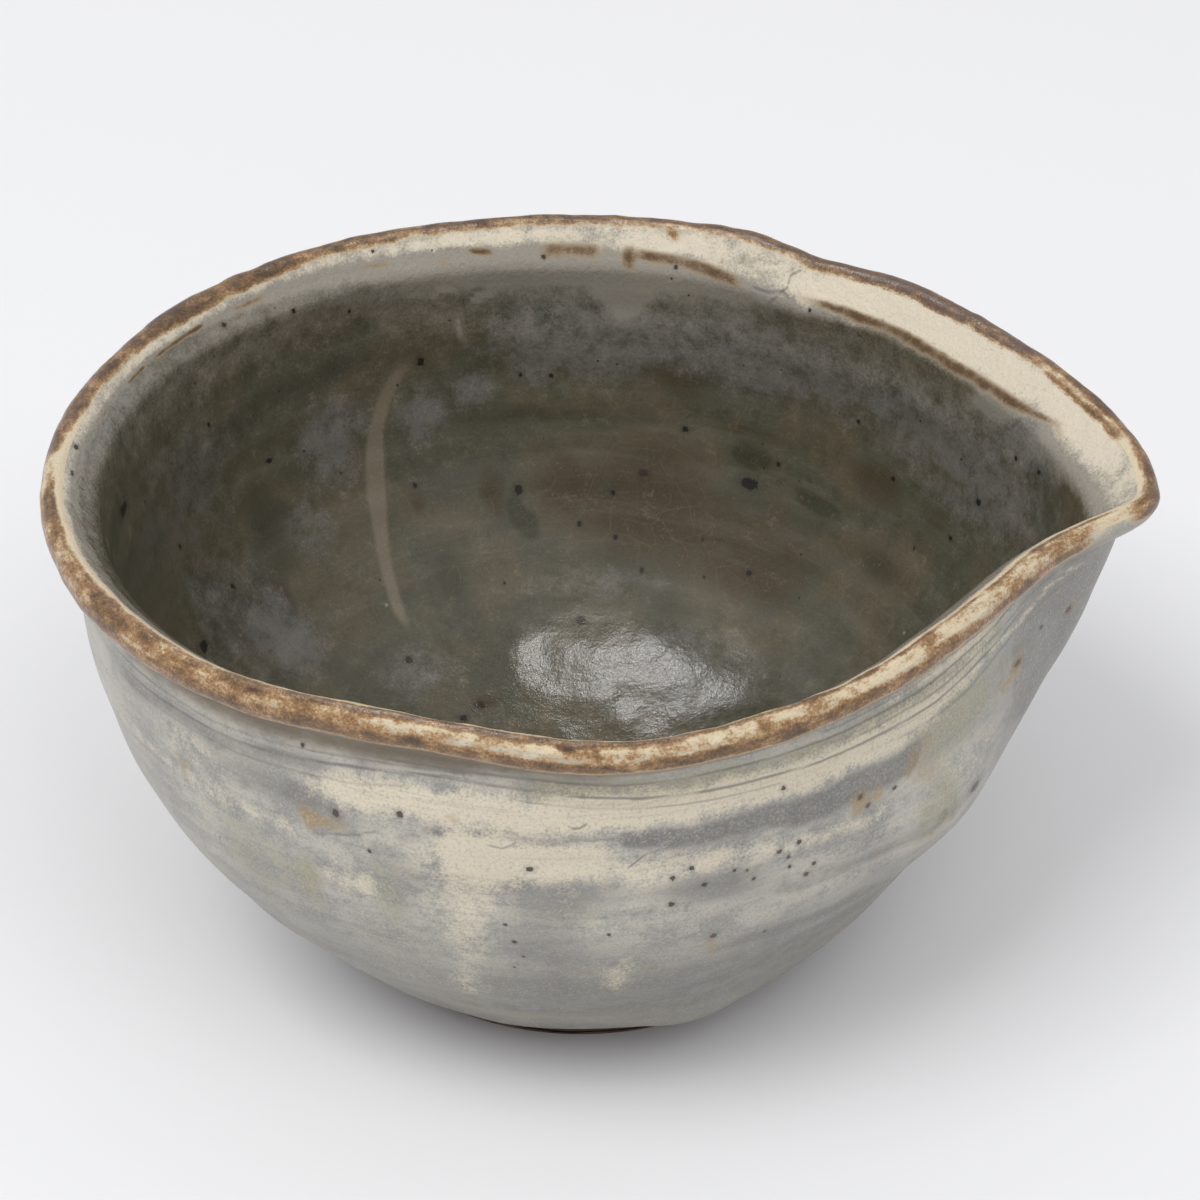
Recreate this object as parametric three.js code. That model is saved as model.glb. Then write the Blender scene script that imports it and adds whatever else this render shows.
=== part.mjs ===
// A hand-thrown stoneware pouring bowl with one drawn beak, rolled lip and turned foot.
// Millimetres and degrees, +Z up, the beak towards +X. The bowl stands on z = 0.
//
// The clay is three pieces that a potter joins while it is soft: the thrown bowl, the beak that
// fills a notch in its rim, and the foot ring. Two coats of glaze lie on the clay, one poured
// inside and one dipped outside. The crest of the lip and the heel stay bare.
import * as THREE from "three";

// The thrown rim, measured to the outside of the lip before the beak was drawn.
const RIM_RADIUS = 72.5;
const RIM_HEIGHT = 80;
const RIM_DRIFT_X = -5.4; // the rim's centre has moved off the foot's centre
const RIM_DRIFT_Y = 2.8;

// The rolled lip and the flange inside it.
const LIP_RADIUS = 2.3; // half the roll's thickness
const NECK_INSET = 4.2; // the hollow under the roll, in from its outside
const NECK_DROP = 7;
const CREASE_INSET = 7.3; // the fold where the inner flange meets the wall
const CREASE_DROP = 4.8;
const CREST = 90; // directions round the roll, from its middle: 0 is outwards and 90 is up
const ROLL_OUTSIDE = [35, -20, -65];
const ROLL_INSIDE = 125;

// The foot ring.
const FOOT_RADIUS = 36.5;
const FOOT_WIDTH = 7;
const FOOT_HEIGHT = 5;
const FOOT_BEVEL = 0.8;

// The heel, where the turned underside meets the wall.
const HEEL_SHELF = 2; // flat clay outside the foot
const HEEL_OVERHANG = 3.5; // from the shelf's edge out to the heel
const HEEL_RISE = 2;

// The wall's outer curve runs from the neck to the heel and bends towards two handles.
const SHOULDER_SWELL = 4.2; // the upper handle stands outside the neck
const SHOULDER_HEIGHT = 45;
const BELLY_SPREAD = 15.2; // the lower handle stands outside the heel
const BELLY_HEIGHT = 22.5;

// Thicknesses.
const WALL = 4.2;
const FLOOR = 7.4;
const GLAZE = 0.7;
const GLAZE_EDGE = 0.25; // the coat thins to this at its edges

// The inner curve's handles, from the outer curve's: clay is left thicker low in the bowl.
const INSIDE_SHOULDER_DROP = 8;
const INSIDE_BELLY_TUCK = 3;

// The beak: how far its tip stands out, where it points and how wide it is at half its reach.
const BEAK_REACH = 17.8;
const BEAK_ANGLE = -6;
const BEAK_HALF_WIDTH_BACK = 27;
const BEAK_HALF_WIDTH_FRONT = 8.5;
const BEAK_DEPTH = 72; // the swelling under the tip fades out this far below the rim
const BEAK_FALL = 1.6; // 1 would be a straight slope down from the tip, more hollows it
const BEAK_SEAM_BACK = 57; // the angles where the beak's clay meets the bowl's
const BEAK_SEAM_FRONT = -34;
const BEAK_END = 95; // the beak's long tail is gone by this angle from its tip
const BEAK_END_SHARPNESS = 6;

// Hand-made unevenness of the rim: [angle, half width in degrees, size].
const DENTS = [
  [-50, 22, -0.9],
  [52, 7, -1.9],
  [-113, 16, -1.0],
  [-78, 12, 0.6],
  [102, 16, -1.2],
  [-155, 20, 0.5],
];
const LIFTS = [
  [BEAK_ANGLE, 14, -1.0],
  [-50, 25, 1.0],
  [-80, 12, -0.7],
  [-116, 20, 1.0],
  [55, 8, -0.4],
];
const DENT_DEPTH = 28; // a dent fades out this far below the rim
const LIFT_DEPTH = 48;

// How finely each surface is divided.
const BEAK_STEPS_FRONT = 9;
const BEAK_STEPS_BACK = 15;
const BEAK_CROWDING = 1.5; // the steps are closer together near the tip
const BOWL_STEPS = 40;
const WALL_ROWS = 9;
const SILL_ROW = 7; // the beak's clay ends at this row below the crest
const FOOT_STEPS = 64;

const radians = THREE.MathUtils.degToRad;
const bell = (offset, width) => Math.exp(-((offset / width) ** 2));
const turn = (angle, from) => THREE.MathUtils.euclideanModulo(angle - from + 180, 360) - 180;
const sumOfBells = (list, angle) =>
  list.reduce((sum, [at, width, size]) => sum + size * bell(turn(angle, at), width), 0);

// 1 at the rim, falling smoothly to 0 at the given depth below it.
function fade(z, depth) {
  return 1 - THREE.MathUtils.smoothstep(RIM_HEIGHT - z, 0, depth);
}

// The beak's swelling falls away almost evenly below its tip.
function beakReach(angle, z) {
  const offset = turn(angle, BEAK_ANGLE);
  const width = offset > 0 ? BEAK_HALF_WIDTH_BACK : BEAK_HALF_WIDTH_FRONT;
  const round = BEAK_REACH / (1 + (offset / width) ** 2) / (1 + (offset / BEAK_END) ** BEAK_END_SHARPNESS);
  return round * Math.max(0, 1 - (RIM_HEIGHT - z) / BEAK_DEPTH) ** BEAK_FALL;
}

// A point of the round profile, moved to where the hand-worked bowl has it. The rim is moved most
// and the underside not at all.
function worked(angle, radius, z) {
  const out = beakReach(angle, z) + sumOfBells(DENTS, angle) * fade(z, DENT_DEPTH);
  const grown = radius + out * Math.min(1, radius / HEEL_RADIUS);
  const lift = sumOfBells(LIFTS, angle) * fade(z, LIFT_DEPTH);
  const drift = (z - FOOT_HEIGHT) / (RIM_HEIGHT - FOOT_HEIGHT);
  return new THREE.Vector3(
    RIM_DRIFT_X * drift + grown * Math.cos(radians(angle)),
    RIM_DRIFT_Y * drift + grown * Math.sin(radians(angle)),
    z + lift,
  );
}

// A point on the lip's roll, by its direction from the roll's middle.
const onRoll = (direction) =>
  new THREE.Vector2(
    RIM_RADIUS - LIP_RADIUS + LIP_RADIUS * Math.cos(radians(direction)),
    RIM_HEIGHT - LIP_RADIUS + LIP_RADIUS * Math.sin(radians(direction)),
  );

const NECK_RADIUS = RIM_RADIUS - NECK_INSET;
const SHELF_RADIUS = FOOT_RADIUS + HEEL_SHELF;
const HEEL_RADIUS = SHELF_RADIUS + HEEL_OVERHANG;

// The outer profile as [radius, z] rows, from the lip's crest down to the edge of the flat shelf.
function outerProfile() {
  const wall = new THREE.CubicBezierCurve(
    new THREE.Vector2(NECK_RADIUS, RIM_HEIGHT - NECK_DROP),
    new THREE.Vector2(NECK_RADIUS + SHOULDER_SWELL, SHOULDER_HEIGHT),
    new THREE.Vector2(HEEL_RADIUS + BELLY_SPREAD, BELLY_HEIGHT),
    new THREE.Vector2(HEEL_RADIUS, FOOT_HEIGHT + HEEL_RISE),
  );
  const shelf = new THREE.Vector2(SHELF_RADIUS, FOOT_HEIGHT);
  return [...[CREST, ...ROLL_OUTSIDE].map(onRoll), ...wall.getPoints(WALL_ROWS), shelf];
}

// The inner profile, from the crest to the floor's centre. It has as many rows as the outer one.
function innerProfile() {
  const floor = FOOT_HEIGHT + FLOOR;
  const crease = new THREE.Vector2(RIM_RADIUS - CREASE_INSET, RIM_HEIGHT - CREASE_DROP);
  const wall = new THREE.CubicBezierCurve(
    new THREE.Vector2(NECK_RADIUS - WALL, RIM_HEIGHT - NECK_DROP),
    new THREE.Vector2(NECK_RADIUS + SHOULDER_SWELL - WALL, SHOULDER_HEIGHT - INSIDE_SHOULDER_DROP),
    new THREE.Vector2(HEEL_RADIUS + BELLY_SPREAD - WALL - INSIDE_BELLY_TUCK, floor),
    new THREE.Vector2(0, floor),
  );
  const [crest, shoulder] = [CREST, ROLL_INSIDE].map(onRoll);
  const flange = shoulder.clone().lerp(crease, 0.5);
  return [crest, shoulder, flange, crease, ...wall.getPoints(WALL_ROWS + 1)];
}

const OUTER = outerProfile();
const INNER = innerProfile();
const LAST_ROW = OUTER.length - 1;

// Angles round the beak crowd towards its tip, where the rim bends most.
function beakAngles() {
  const angles = [];
  for (let i = BEAK_STEPS_FRONT; i > 0; i--)
    angles.push(BEAK_ANGLE - (BEAK_ANGLE - BEAK_SEAM_FRONT) * (i / BEAK_STEPS_FRONT) ** BEAK_CROWDING);
  for (let i = 0; i <= BEAK_STEPS_BACK; i++)
    angles.push(BEAK_ANGLE + (BEAK_SEAM_BACK - BEAK_ANGLE) * (i / BEAK_STEPS_BACK) ** BEAK_CROWDING);
  return angles;
}

function bowlAngles() {
  const span = 360 - (BEAK_SEAM_BACK - BEAK_SEAM_FRONT);
  return Array.from({ length: BOWL_STEPS + 1 }, (_, i) => BEAK_SEAM_BACK + (span * i) / BOWL_STEPS);
}

// Columns of points, one for each angle and one row for each point of the profile.
const sheet = (profile, angles) => angles.map((angle) => profile.map((p) => worked(angle, p.x, p.y)));

// Collects triangles that face outwards and turns them into one geometry.
class Skin {
  constructor() {
    this.points = [];
  }

  triangle(a, b, c) {
    if (a.equals(b) || b.equals(c) || c.equals(a)) return;
    for (const p of [a, b, c]) this.points.push(p.x, p.y, p.z);
  }

  // The diagonal always joins a and c, so that two pieces that share a quad fit exactly.
  quad(a, b, c, d) {
    this.triangle(a, b, c);
    this.triangle(a, c, d);
  }

  // The face of a sheet between two rows. Its columns run anticlockwise and its rows run down.
  face(columns, from, to, outwards) {
    for (let i = 0; i + 1 < columns.length; i++)
      for (let j = from; j < to; j++) {
        const [a, b, c, d] = [columns[i][j], columns[i][j + 1], columns[i + 1][j + 1], columns[i + 1][j]];
        if (outwards) this.quad(a, b, c, d);
        else this.quad(a, d, c, b);
      }
  }

  // A band between two lines of points, such as a cut end or the edge of a coat. Turned over, it
  // keeps its diagonals, so that the two pieces that meet there fit exactly.
  band(near, far, over) {
    for (let i = 0; i + 1 < near.length; i++) {
      if (over) this.quad(near[i], far[i], far[i + 1], near[i + 1]);
      else this.quad(near[i], near[i + 1], far[i + 1], far[i]);
    }
  }

  geometry() {
    const made = new THREE.BufferGeometry();
    made.setAttribute("position", new THREE.Float32BufferAttribute(this.points, 3));
    made.computeVertexNormals();
    return made;
  }
}

const row = (columns, j) => columns.map((column) => column[j]);
const upTo = (column, j) => column.slice(0, j + 1);

const beak = { angles: beakAngles() };
const bowl = { angles: bowlAngles() };
for (const part of [beak, bowl]) {
  part.outer = sheet(OUTER, part.angles);
  part.inner = sheet(INNER, part.angles);
}
// The bowl's last column is its seam with the beak, point for point.
bowl.outer[BOWL_STEPS] = beak.outer[0];
bowl.inner[BOWL_STEPS] = beak.inner[0];
beak.outer[beak.outer.length - 1] = bowl.outer[0];
beak.inner[beak.inner.length - 1] = bowl.inner[0];

// The luted joint: the bottom and both ends of the notch, facing the bowl's clay or the beak's.
function addJoint(skin, facesUp) {
  const last = beak.outer.length - 1;
  skin.band(upTo(beak.inner[last], SILL_ROW), upTo(beak.outer[last], SILL_ROW), !facesUp);
  skin.band(upTo(beak.inner[0], SILL_ROW), upTo(beak.outer[0], SILL_ROW), facesUp);
  skin.band(row(beak.inner, SILL_ROW), row(beak.outer, SILL_ROW), facesUp);
}

// The thrown bowl: wall, floor and flat underside, with a notch in the rim for the beak.
function bowlGeometry() {
  const skin = new Skin();
  skin.face(bowl.outer, 0, LAST_ROW, true);
  skin.face(bowl.inner, 0, LAST_ROW, false);
  skin.face(beak.outer, SILL_ROW, LAST_ROW, true);
  skin.face(beak.inner, SILL_ROW, LAST_ROW, false);
  addJoint(skin, true);
  const share = FOOT_HEIGHT / RIM_HEIGHT;
  const middle = new THREE.Vector3(RIM_DRIFT_X * share, RIM_DRIFT_Y * share, FOOT_HEIGHT);
  for (const columns of [bowl.outer, beak.outer]) {
    const heel = row(columns, LAST_ROW);
    for (let i = 0; i + 1 < heel.length; i++) skin.triangle(heel[i], middle, heel[i + 1]);
  }
  return skin.geometry();
}

// The beak: the wedge of wall and lip between the two seams, down to the sill.
function beakGeometry() {
  const skin = new Skin();
  skin.face(beak.outer, 0, SILL_ROW, true);
  skin.face(beak.inner, 0, SILL_ROW, false);
  addJoint(skin, false);
  return skin.geometry();
}

// All the columns of one side of the clay, once round the bowl without the repeated seams.
const round = (side) => [...bowl[side].slice(0, BOWL_STEPS), ...beak[side].slice(0, -1)];

// A coat of glaze over rows from..to of one side of the clay. Its back is the clay's own surface.
function coatGeometry(side, from, to) {
  const clay = round(side);
  const outwards = side === "outer" ? 1 : -1;
  const count = clay.length;
  const column = (i) => clay[(i + count) % count];
  const face = clay.map((points, i) =>
    points.map((point, j) => {
      if (j < from || j > to) return point;
      const down = new THREE.Vector3().subVectors(points[Math.min(j + 1, LAST_ROW)], points[j - 1]);
      const along = new THREE.Vector3().subVectors(column(i + 1)[j], column(i - 1)[j]);
      const atCentre = side === "inner" && j === LAST_ROW;
      const normal = atCentre
        ? new THREE.Vector3(0, 0, 1)
        : down.cross(along).normalize().multiplyScalar(outwards);
      const atEdge = j === from || (j === to && side === "outer");
      return point.clone().addScaledVector(normal, atEdge ? GLAZE_EDGE : GLAZE);
    }),
  );
  const skin = new Skin();
  const closed = (columns) => [...columns, columns[0]];
  const [back, front] = [closed(clay), closed(face)];
  skin.face(front, from, to, side === "outer");
  skin.face(back, from, to, side === "inner");
  skin.band(row(back, from), row(front, from), side === "outer");
  if (side === "outer") skin.band(row(back, to), row(front, to), false);
  return skin.geometry();
}

// The foot ring is turned round, with its flat top against the bowl's underside.
function footGeometry() {
  const inside = FOOT_RADIUS - FOOT_WIDTH;
  const profile = [
    [inside, FOOT_HEIGHT],
    [inside, FOOT_BEVEL],
    [inside + FOOT_BEVEL, 0],
    [FOOT_RADIUS - FOOT_BEVEL, 0],
    [FOOT_RADIUS, FOOT_BEVEL],
    [FOOT_RADIUS, FOOT_HEIGHT],
    [inside, FOOT_HEIGHT],
  ];
  const turned = new THREE.LatheGeometry(
    profile.map(([r, z]) => new THREE.Vector2(r, z)),
    FOOT_STEPS,
  );
  return turned.rotateX(Math.PI / 2);
}

const CLAY = { color: 0x5b4636, roughness: 0.85, metalness: 0 };
const FOOT_CLAY = { color: 0x3b2a24, roughness: 0.9, metalness: 0 };
const INSIDE_GLAZE = { color: 0x6d675b, roughness: 0.25, metalness: 0 };
const OUTSIDE_GLAZE = { color: 0xb3aca0, roughness: 0.45, metalness: 0 };

function piece(name, geometry, finish) {
  const mesh = new THREE.Mesh(geometry, new THREE.MeshStandardMaterial(finish));
  mesh.name = name;
  return mesh;
}

const pouringBowl = new THREE.Group();
pouringBowl.add(
  piece("thrown_bowl", bowlGeometry(), CLAY),
  piece("drawn_beak", beakGeometry(), CLAY),
  piece("foot_ring", footGeometry(), FOOT_CLAY),
  piece("inner_glaze", coatGeometry("inner", 1, LAST_ROW), INSIDE_GLAZE),
  piece("outer_glaze", coatGeometry("outer", 1, LAST_ROW - 1), OUTSIDE_GLAZE),
);

// The part's origin is under the middle of its outline.
const middle = new THREE.Box3().setFromObject(pouringBowl).getCenter(new THREE.Vector3());
pouringBowl.position.set(-middle.x, -middle.y, 0);

export default pouringBowl;
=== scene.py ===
"""A hand-thrown stoneware pouring bowl with one drawn beak, in its glaze, on a pale floor.

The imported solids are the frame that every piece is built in. Shapes and places are written in
millimetres and degrees, from the middle of the foot, and turned into metres when a mesh is made.
A place on the bowl is a turn round its axis, 0 towards the beak and 90 towards the back, and a
distance along the profile from the crest of the lip: down the outside is positive, and down the
inside is negative.
"""

import logging
import math
from dataclasses import dataclass
from enum import Enum

import bpy
import numpy as np
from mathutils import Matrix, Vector
from mathutils.kdtree import KDTree


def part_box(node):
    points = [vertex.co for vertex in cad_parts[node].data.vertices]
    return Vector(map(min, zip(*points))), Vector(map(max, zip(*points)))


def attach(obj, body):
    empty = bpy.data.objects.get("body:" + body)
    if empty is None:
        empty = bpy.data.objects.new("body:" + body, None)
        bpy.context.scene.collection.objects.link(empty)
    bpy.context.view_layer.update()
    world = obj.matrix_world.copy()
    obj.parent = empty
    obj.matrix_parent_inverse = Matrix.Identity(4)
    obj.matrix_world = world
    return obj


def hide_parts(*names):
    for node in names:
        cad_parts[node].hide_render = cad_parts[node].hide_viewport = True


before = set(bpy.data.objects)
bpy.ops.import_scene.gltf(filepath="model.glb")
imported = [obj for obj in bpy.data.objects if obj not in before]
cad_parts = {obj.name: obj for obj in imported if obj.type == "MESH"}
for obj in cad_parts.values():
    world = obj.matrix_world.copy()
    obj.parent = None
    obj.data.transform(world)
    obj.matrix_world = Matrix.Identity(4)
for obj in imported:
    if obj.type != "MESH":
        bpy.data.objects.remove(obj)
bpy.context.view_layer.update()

MM = 0.001
MERGE_DISTANCE = 0.001 * MM
BODY = "root"
LATTICE = np.random.default_rng(7).uniform(-1, 1, (32, 32, 32))
log = logging.getLogger("pouring_bowl")

Path = tuple[tuple[float, float], ...]
Colour = tuple[float, float, float]
Socket = bpy.types.NodeSocket


def bell(offset: np.ndarray, half_width: float) -> np.ndarray:
    """1 where offset is 0, falling smoothly to nothing past half_width."""
    return np.exp(-((offset / half_width) ** 2))


def turned(angle: np.ndarray, start: float) -> np.ndarray:
    """How far angle is turned from start, in degrees from -180 to 180."""
    return (angle - start + 180) % 360 - 180


def ease(value: np.ndarray, start: float, end: float) -> np.ndarray:
    """0 at start and 1 at end, with a smooth way between them."""
    share = np.clip((value - start) / (end - start), 0, 1)
    return share * share * (3 - 2 * share)


def clouds(points: np.ndarray, size: float, seed: float) -> np.ndarray:
    """Smooth random values between -1 and 1 at points.

    Args:
        points: One row of x, y and z for each point, in millimetres.
        size: The width of one cloud, in millimetres.
        seed: Moves the pattern, so that two uses differ.

    Returns:
        One value for each point.
    """
    spots = points / size + seed * np.array([1.0, 1.7, 2.3])
    base = np.floor(spots).astype(int)
    share = spots - base
    share = share * share * (3 - 2 * share)
    made = np.zeros(len(points))
    for corner in np.ndindex(2, 2, 2):
        weight = np.prod(np.where(corner, share, 1 - share), axis=1)
        at = (base + corner) % len(LATTICE)
        made += weight * LATTICE[at[:, 0], at[:, 1], at[:, 2]]
    return made


@dataclass(frozen=True)
class Lumps:
    """Smooth random unevenness: its height, the width of one lump, and its seed."""

    height: float
    width: float
    seed: float

    def at(self, spots: np.ndarray) -> np.ndarray:
        """The unevenness at each place."""
        return self.height * clouds(spots, self.width, self.seed)


@dataclass(frozen=True)
class Bell:
    """A soft swelling, or with a negative size a dent, at one turn round the rim."""

    turn: float
    half_width: float
    size: float

    def at(self, angle: np.ndarray) -> np.ndarray:
        """The swelling's share at each angle."""
        return self.size * bell(turned(angle, self.turn), self.half_width)


@dataclass(frozen=True)
class Rows:
    """A stretch of the round profile, one row for each point.

    Args:
        points: Radius and height of each row.
        along: Distance of each row from the crest of the lip, positive outside.
        out: Which way the surface faces at each row, in radius and height.
    """

    points: np.ndarray
    along: np.ndarray
    out: np.ndarray

    def raised(self, amount: np.ndarray) -> "Rows":
        """The same rows with the surface moved outwards by amount."""
        return Rows(self.points + self.out * np.asarray(amount)[:, None], self.along, self.out)

    def where(self, wanted: np.ndarray) -> "Rows":
        """Only the wanted rows."""
        return Rows(self.points[wanted], self.along[wanted], self.out[wanted])

    def back(self) -> "Rows":
        """The rows in the opposite order."""
        return Rows(self.points[::-1], self.along[::-1], self.out[::-1])

    def thinned(self, near: float, near_step: int, far_step: int) -> "Rows":
        """Fewer rows, for a face that nobody sees.

        Args:
            near: How far from the crest the closer rows go.
            near_step: One of how many rows stays within that distance.
            far_step: One of how many rows stays beyond it.

        Returns:
            The rows that stay, the first and the last among them.
        """
        count = np.arange(len(self.along))
        keep = np.where(np.abs(self.along) < near, count % near_step == 0, count % far_step == 0)
        keep[[0, -1]] = True
        return self.where(keep)

    def then(self, other: "Rows") -> "Rows":
        """These rows followed by another stretch."""
        pairs = ((self.points, other.points), (self.along, other.along), (self.out, other.out))
        return Rows(*(np.concatenate(pair) for pair in pairs))


@dataclass(frozen=True)
class BowlShape:
    """The bowl's round profile and the hand work that moves it, with the sizes of the solids."""

    rim_radius: float = 72.5
    rim_height: float = 80.0
    rim_drift: tuple[float, float] = (-5.4, 2.8)
    lip_radius: float = 2.3
    neck_inset: float = 4.2
    neck_drop: float = 7.0
    throat: float = -70.0
    crease_inset: float = 7.3
    crease_drop: float = 4.8
    inner_shoulder: float = 130.0
    foot_radius: float = 36.5
    foot_width: float = 7.0
    foot_height: float = 5.0
    foot_bevel: float = 0.8
    heel_shelf: float = 2.0
    heel_overhang: float = 3.5
    heel_rise: float = 2.0
    shoulder_swell: float = 4.2
    shoulder_height: float = 45.0
    belly_spread: float = 15.2
    belly_height: float = 22.5
    wall: float = 4.2
    floor: float = 7.4
    inside_shoulder_drop: float = 8.0
    inside_belly_tuck: float = 3.0
    beak_reach: float = 17.8
    beak_turn: float = -6.0
    beak_half_width_back: float = 27.0
    beak_half_width_front: float = 8.5
    beak_depth: float = 72.0
    beak_fall: float = 1.6
    beak_end: float = 95.0
    beak_end_sharpness: float = 6.0
    beak_seams: tuple[float, float] = (-34.0, 57.0)
    beak_sill: float = 42.5
    dents: tuple[Bell, ...] = (
        Bell(-50, 22, -0.9),
        Bell(52, 7, -1.9),
        Bell(-113, 16, -1.0),
        Bell(-78, 12, 0.6),
        Bell(102, 16, -1.2),
        Bell(-155, 20, 0.5),
    )
    lifts: tuple[Bell, ...] = (
        Bell(-6, 14, -1.0),
        Bell(-50, 25, 1.0),
        Bell(-80, 12, -0.7),
        Bell(-116, 20, 1.0),
        Bell(55, 8, -0.4),
    )
    dent_depth: float = 28.0
    lift_depth: float = 48.0

    @property
    def neck_radius(self) -> float:
        """The hollow under the rolled lip."""
        return self.rim_radius - self.neck_inset

    @property
    def shelf_radius(self) -> float:
        """The edge of the flat clay outside the foot."""
        return self.foot_radius + self.heel_shelf

    @property
    def heel_radius(self) -> float:
        """Where the wall's outer curve ends."""
        return self.shelf_radius + self.heel_overhang

    def roll(self, direction: float) -> tuple[float, float]:
        """A point on the rolled lip.

        Args:
            direction: Which way the point faces: 0 is the lip's outside and 90 is its crest.

        Returns:
            The point's radius and height.
        """
        turn = math.radians(direction)
        radius = self.rim_radius - self.lip_radius + self.lip_radius * math.cos(turn)
        return radius, self.rim_height - self.lip_radius + self.lip_radius * math.sin(turn)

    def beak(self, angle: np.ndarray, z: np.ndarray) -> np.ndarray:
        """How far the beak stands out.

        Args:
            angle: Turn of each point.
            z: Height of each point.

        Returns:
            The distance outwards at each point.
        """
        offset = turned(angle, self.beak_turn)
        width = np.where(offset > 0, self.beak_half_width_back, self.beak_half_width_front)
        tail = 1 + (offset / self.beak_end) ** self.beak_end_sharpness
        reach = self.beak_reach / (1 + (offset / width) ** 2) / tail
        return reach * np.maximum(0, 1 - (self.rim_height - z) / self.beak_depth) ** self.beak_fall

    def worked(self, angle: np.ndarray, radius: np.ndarray, z: np.ndarray) -> np.ndarray:
        """Moves points of the round profile to where the hand-worked bowl has them.

        Args:
            angle: Turn of each point, in degrees.
            radius: Radius of each point.
            z: Height of each point.

        Returns:
            One row of x, y and z for each point, from the middle of the foot.
        """
        below = self.rim_height - z
        dents = sum(dent.at(angle) for dent in self.dents) * (1 - ease(below, 0, self.dent_depth))
        lift = sum(lift.at(angle) for lift in self.lifts) * (1 - ease(below, 0, self.lift_depth))
        out = self.beak(angle, z) + dents
        grown = radius + out * np.minimum(1, radius / self.heel_radius)
        drift = (z - self.foot_height) / (self.rim_height - self.foot_height)
        x = self.rim_drift[0] * drift + grown * np.cos(np.radians(angle))
        y = self.rim_drift[1] * drift + grown * np.sin(np.radians(angle))
        return np.stack([x, y, z + lift], axis=1)


SHAPE = BowlShape()
LIP_SPACING = 0.4
LIP_REACH = 12.0
WALL_SPACING = 0.9
COLUMNS = 576


def round_way(angle: np.ndarray, start: float) -> np.ndarray:
    """How far round the rim angle lies from start, in millimetres."""
    return np.radians(turned(angle, start)) * SHAPE.rim_radius


def wheel_place(angle: np.ndarray, along: np.ndarray) -> np.ndarray:
    """Places on a cylinder as wide as the rim, unrolled down the profile."""
    x, y = (SHAPE.rim_radius * way(np.radians(angle)) for way in (np.cos, np.sin))
    return np.stack([x, y, along], axis=1)


def foot_middle() -> np.ndarray:
    """The middle of the foot in the frame, in metres."""
    low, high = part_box("foot_ring")
    return np.array([(low[0] + high[0]) / 2, (low[1] + high[1]) / 2, 0.0])


def beside(path: Path, angle: np.ndarray, along: np.ndarray) -> tuple[np.ndarray, np.ndarray]:
    """Where places lie beside a path over the glaze.

    Args:
        path: The turn and the distance along of each corner of the path.
        angle: Turn of each place.
        along: Distance of each place from the crest.

    Returns:
        How far each place lies to the side of the path, negative on one side, and how far down
        the path it is, from 0 to 1.
    """
    nearest = np.full(len(angle), np.inf)
    side = np.zeros(len(angle))
    reach = np.zeros(len(angle))
    done = 0.0
    for (turn, start), (next_turn, end) in zip(path, path[1:]):
        across = round_way(angle, turn)
        down = along - start
        step_across = float(round_way(np.array(next_turn), turn))
        step_down = end - start
        length = math.hypot(step_across, step_down)
        share = np.clip((across * step_across + down * step_down) / length**2, 0, 1)
        distance = np.hypot(across - share * step_across, down - share * step_down)
        sign = np.where(step_across * down < step_down * across, -1, 1)
        closer = distance < nearest
        nearest = np.where(closer, distance, nearest)
        side = np.where(closer, sign * distance, side)
        reach = np.where(closer, done + share * length, reach)
        done += length
    return side, reach / done


def arc(start: float, end: float, spacing: float) -> list[tuple[float, float]]:
    """Points on the rolled lip.

    Args:
        start: The direction of the first point.
        end: The direction of the last point.
        spacing: About how far apart the points are.

    Returns:
        The radius and height of each point.
    """
    length = math.radians(abs(end - start)) * SHAPE.lip_radius
    steps = max(1, round(length / spacing))
    return [SHAPE.roll(start + (end - start) * i / steps) for i in range(steps + 1)]


def curve(handles: list[tuple[float, float]], spacing: float) -> list[tuple[float, float]]:
    """Points at even steps on a Bezier curve.

    Args:
        handles: The curve's four handles, as radius and height.
        spacing: About how far apart the points are.

    Returns:
        The radius and height of each point.
    """
    a, b, c, d = (np.array(handle) for handle in handles)
    share = np.linspace(0, 1, 400)[:, None]
    rest = 1 - share
    path = rest**3 * a + 3 * rest**2 * share * b + 3 * rest * share**2 * c + share**3 * d
    length = np.concatenate([[0], np.cumsum(np.linalg.norm(np.diff(path, axis=0), axis=1))])
    steps = np.linspace(0, length[-1], max(2, round(length[-1] / spacing)) + 1)
    radius, height = (np.interp(steps, length, path[:, part]) for part in range(2))
    return [(float(r), float(z)) for r, z in zip(radius, height)]


def rows_of(points: list[tuple[float, float]], outside: bool) -> Rows:
    """The rows of a line of points that starts at the crest of the lip.

    Args:
        points: Radius and height of each point.
        outside: True down the outside of the bowl, False down the inside.

    Returns:
        The rows, with their distance from the crest and the way that they face.
    """
    line = np.array(points)
    line = line[np.concatenate([[True], np.linalg.norm(np.diff(line, axis=0), axis=1) > 1e-6])]
    length = np.concatenate([[0], np.cumsum(np.linalg.norm(np.diff(line, axis=0), axis=1))])
    slope = np.gradient(line, length, axis=0)
    slope /= np.linalg.norm(slope, axis=1)[:, None]
    side = 1 if outside else -1
    return Rows(line, side * length, side * np.stack([-slope[:, 1], slope[:, 0]], axis=1))


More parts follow.
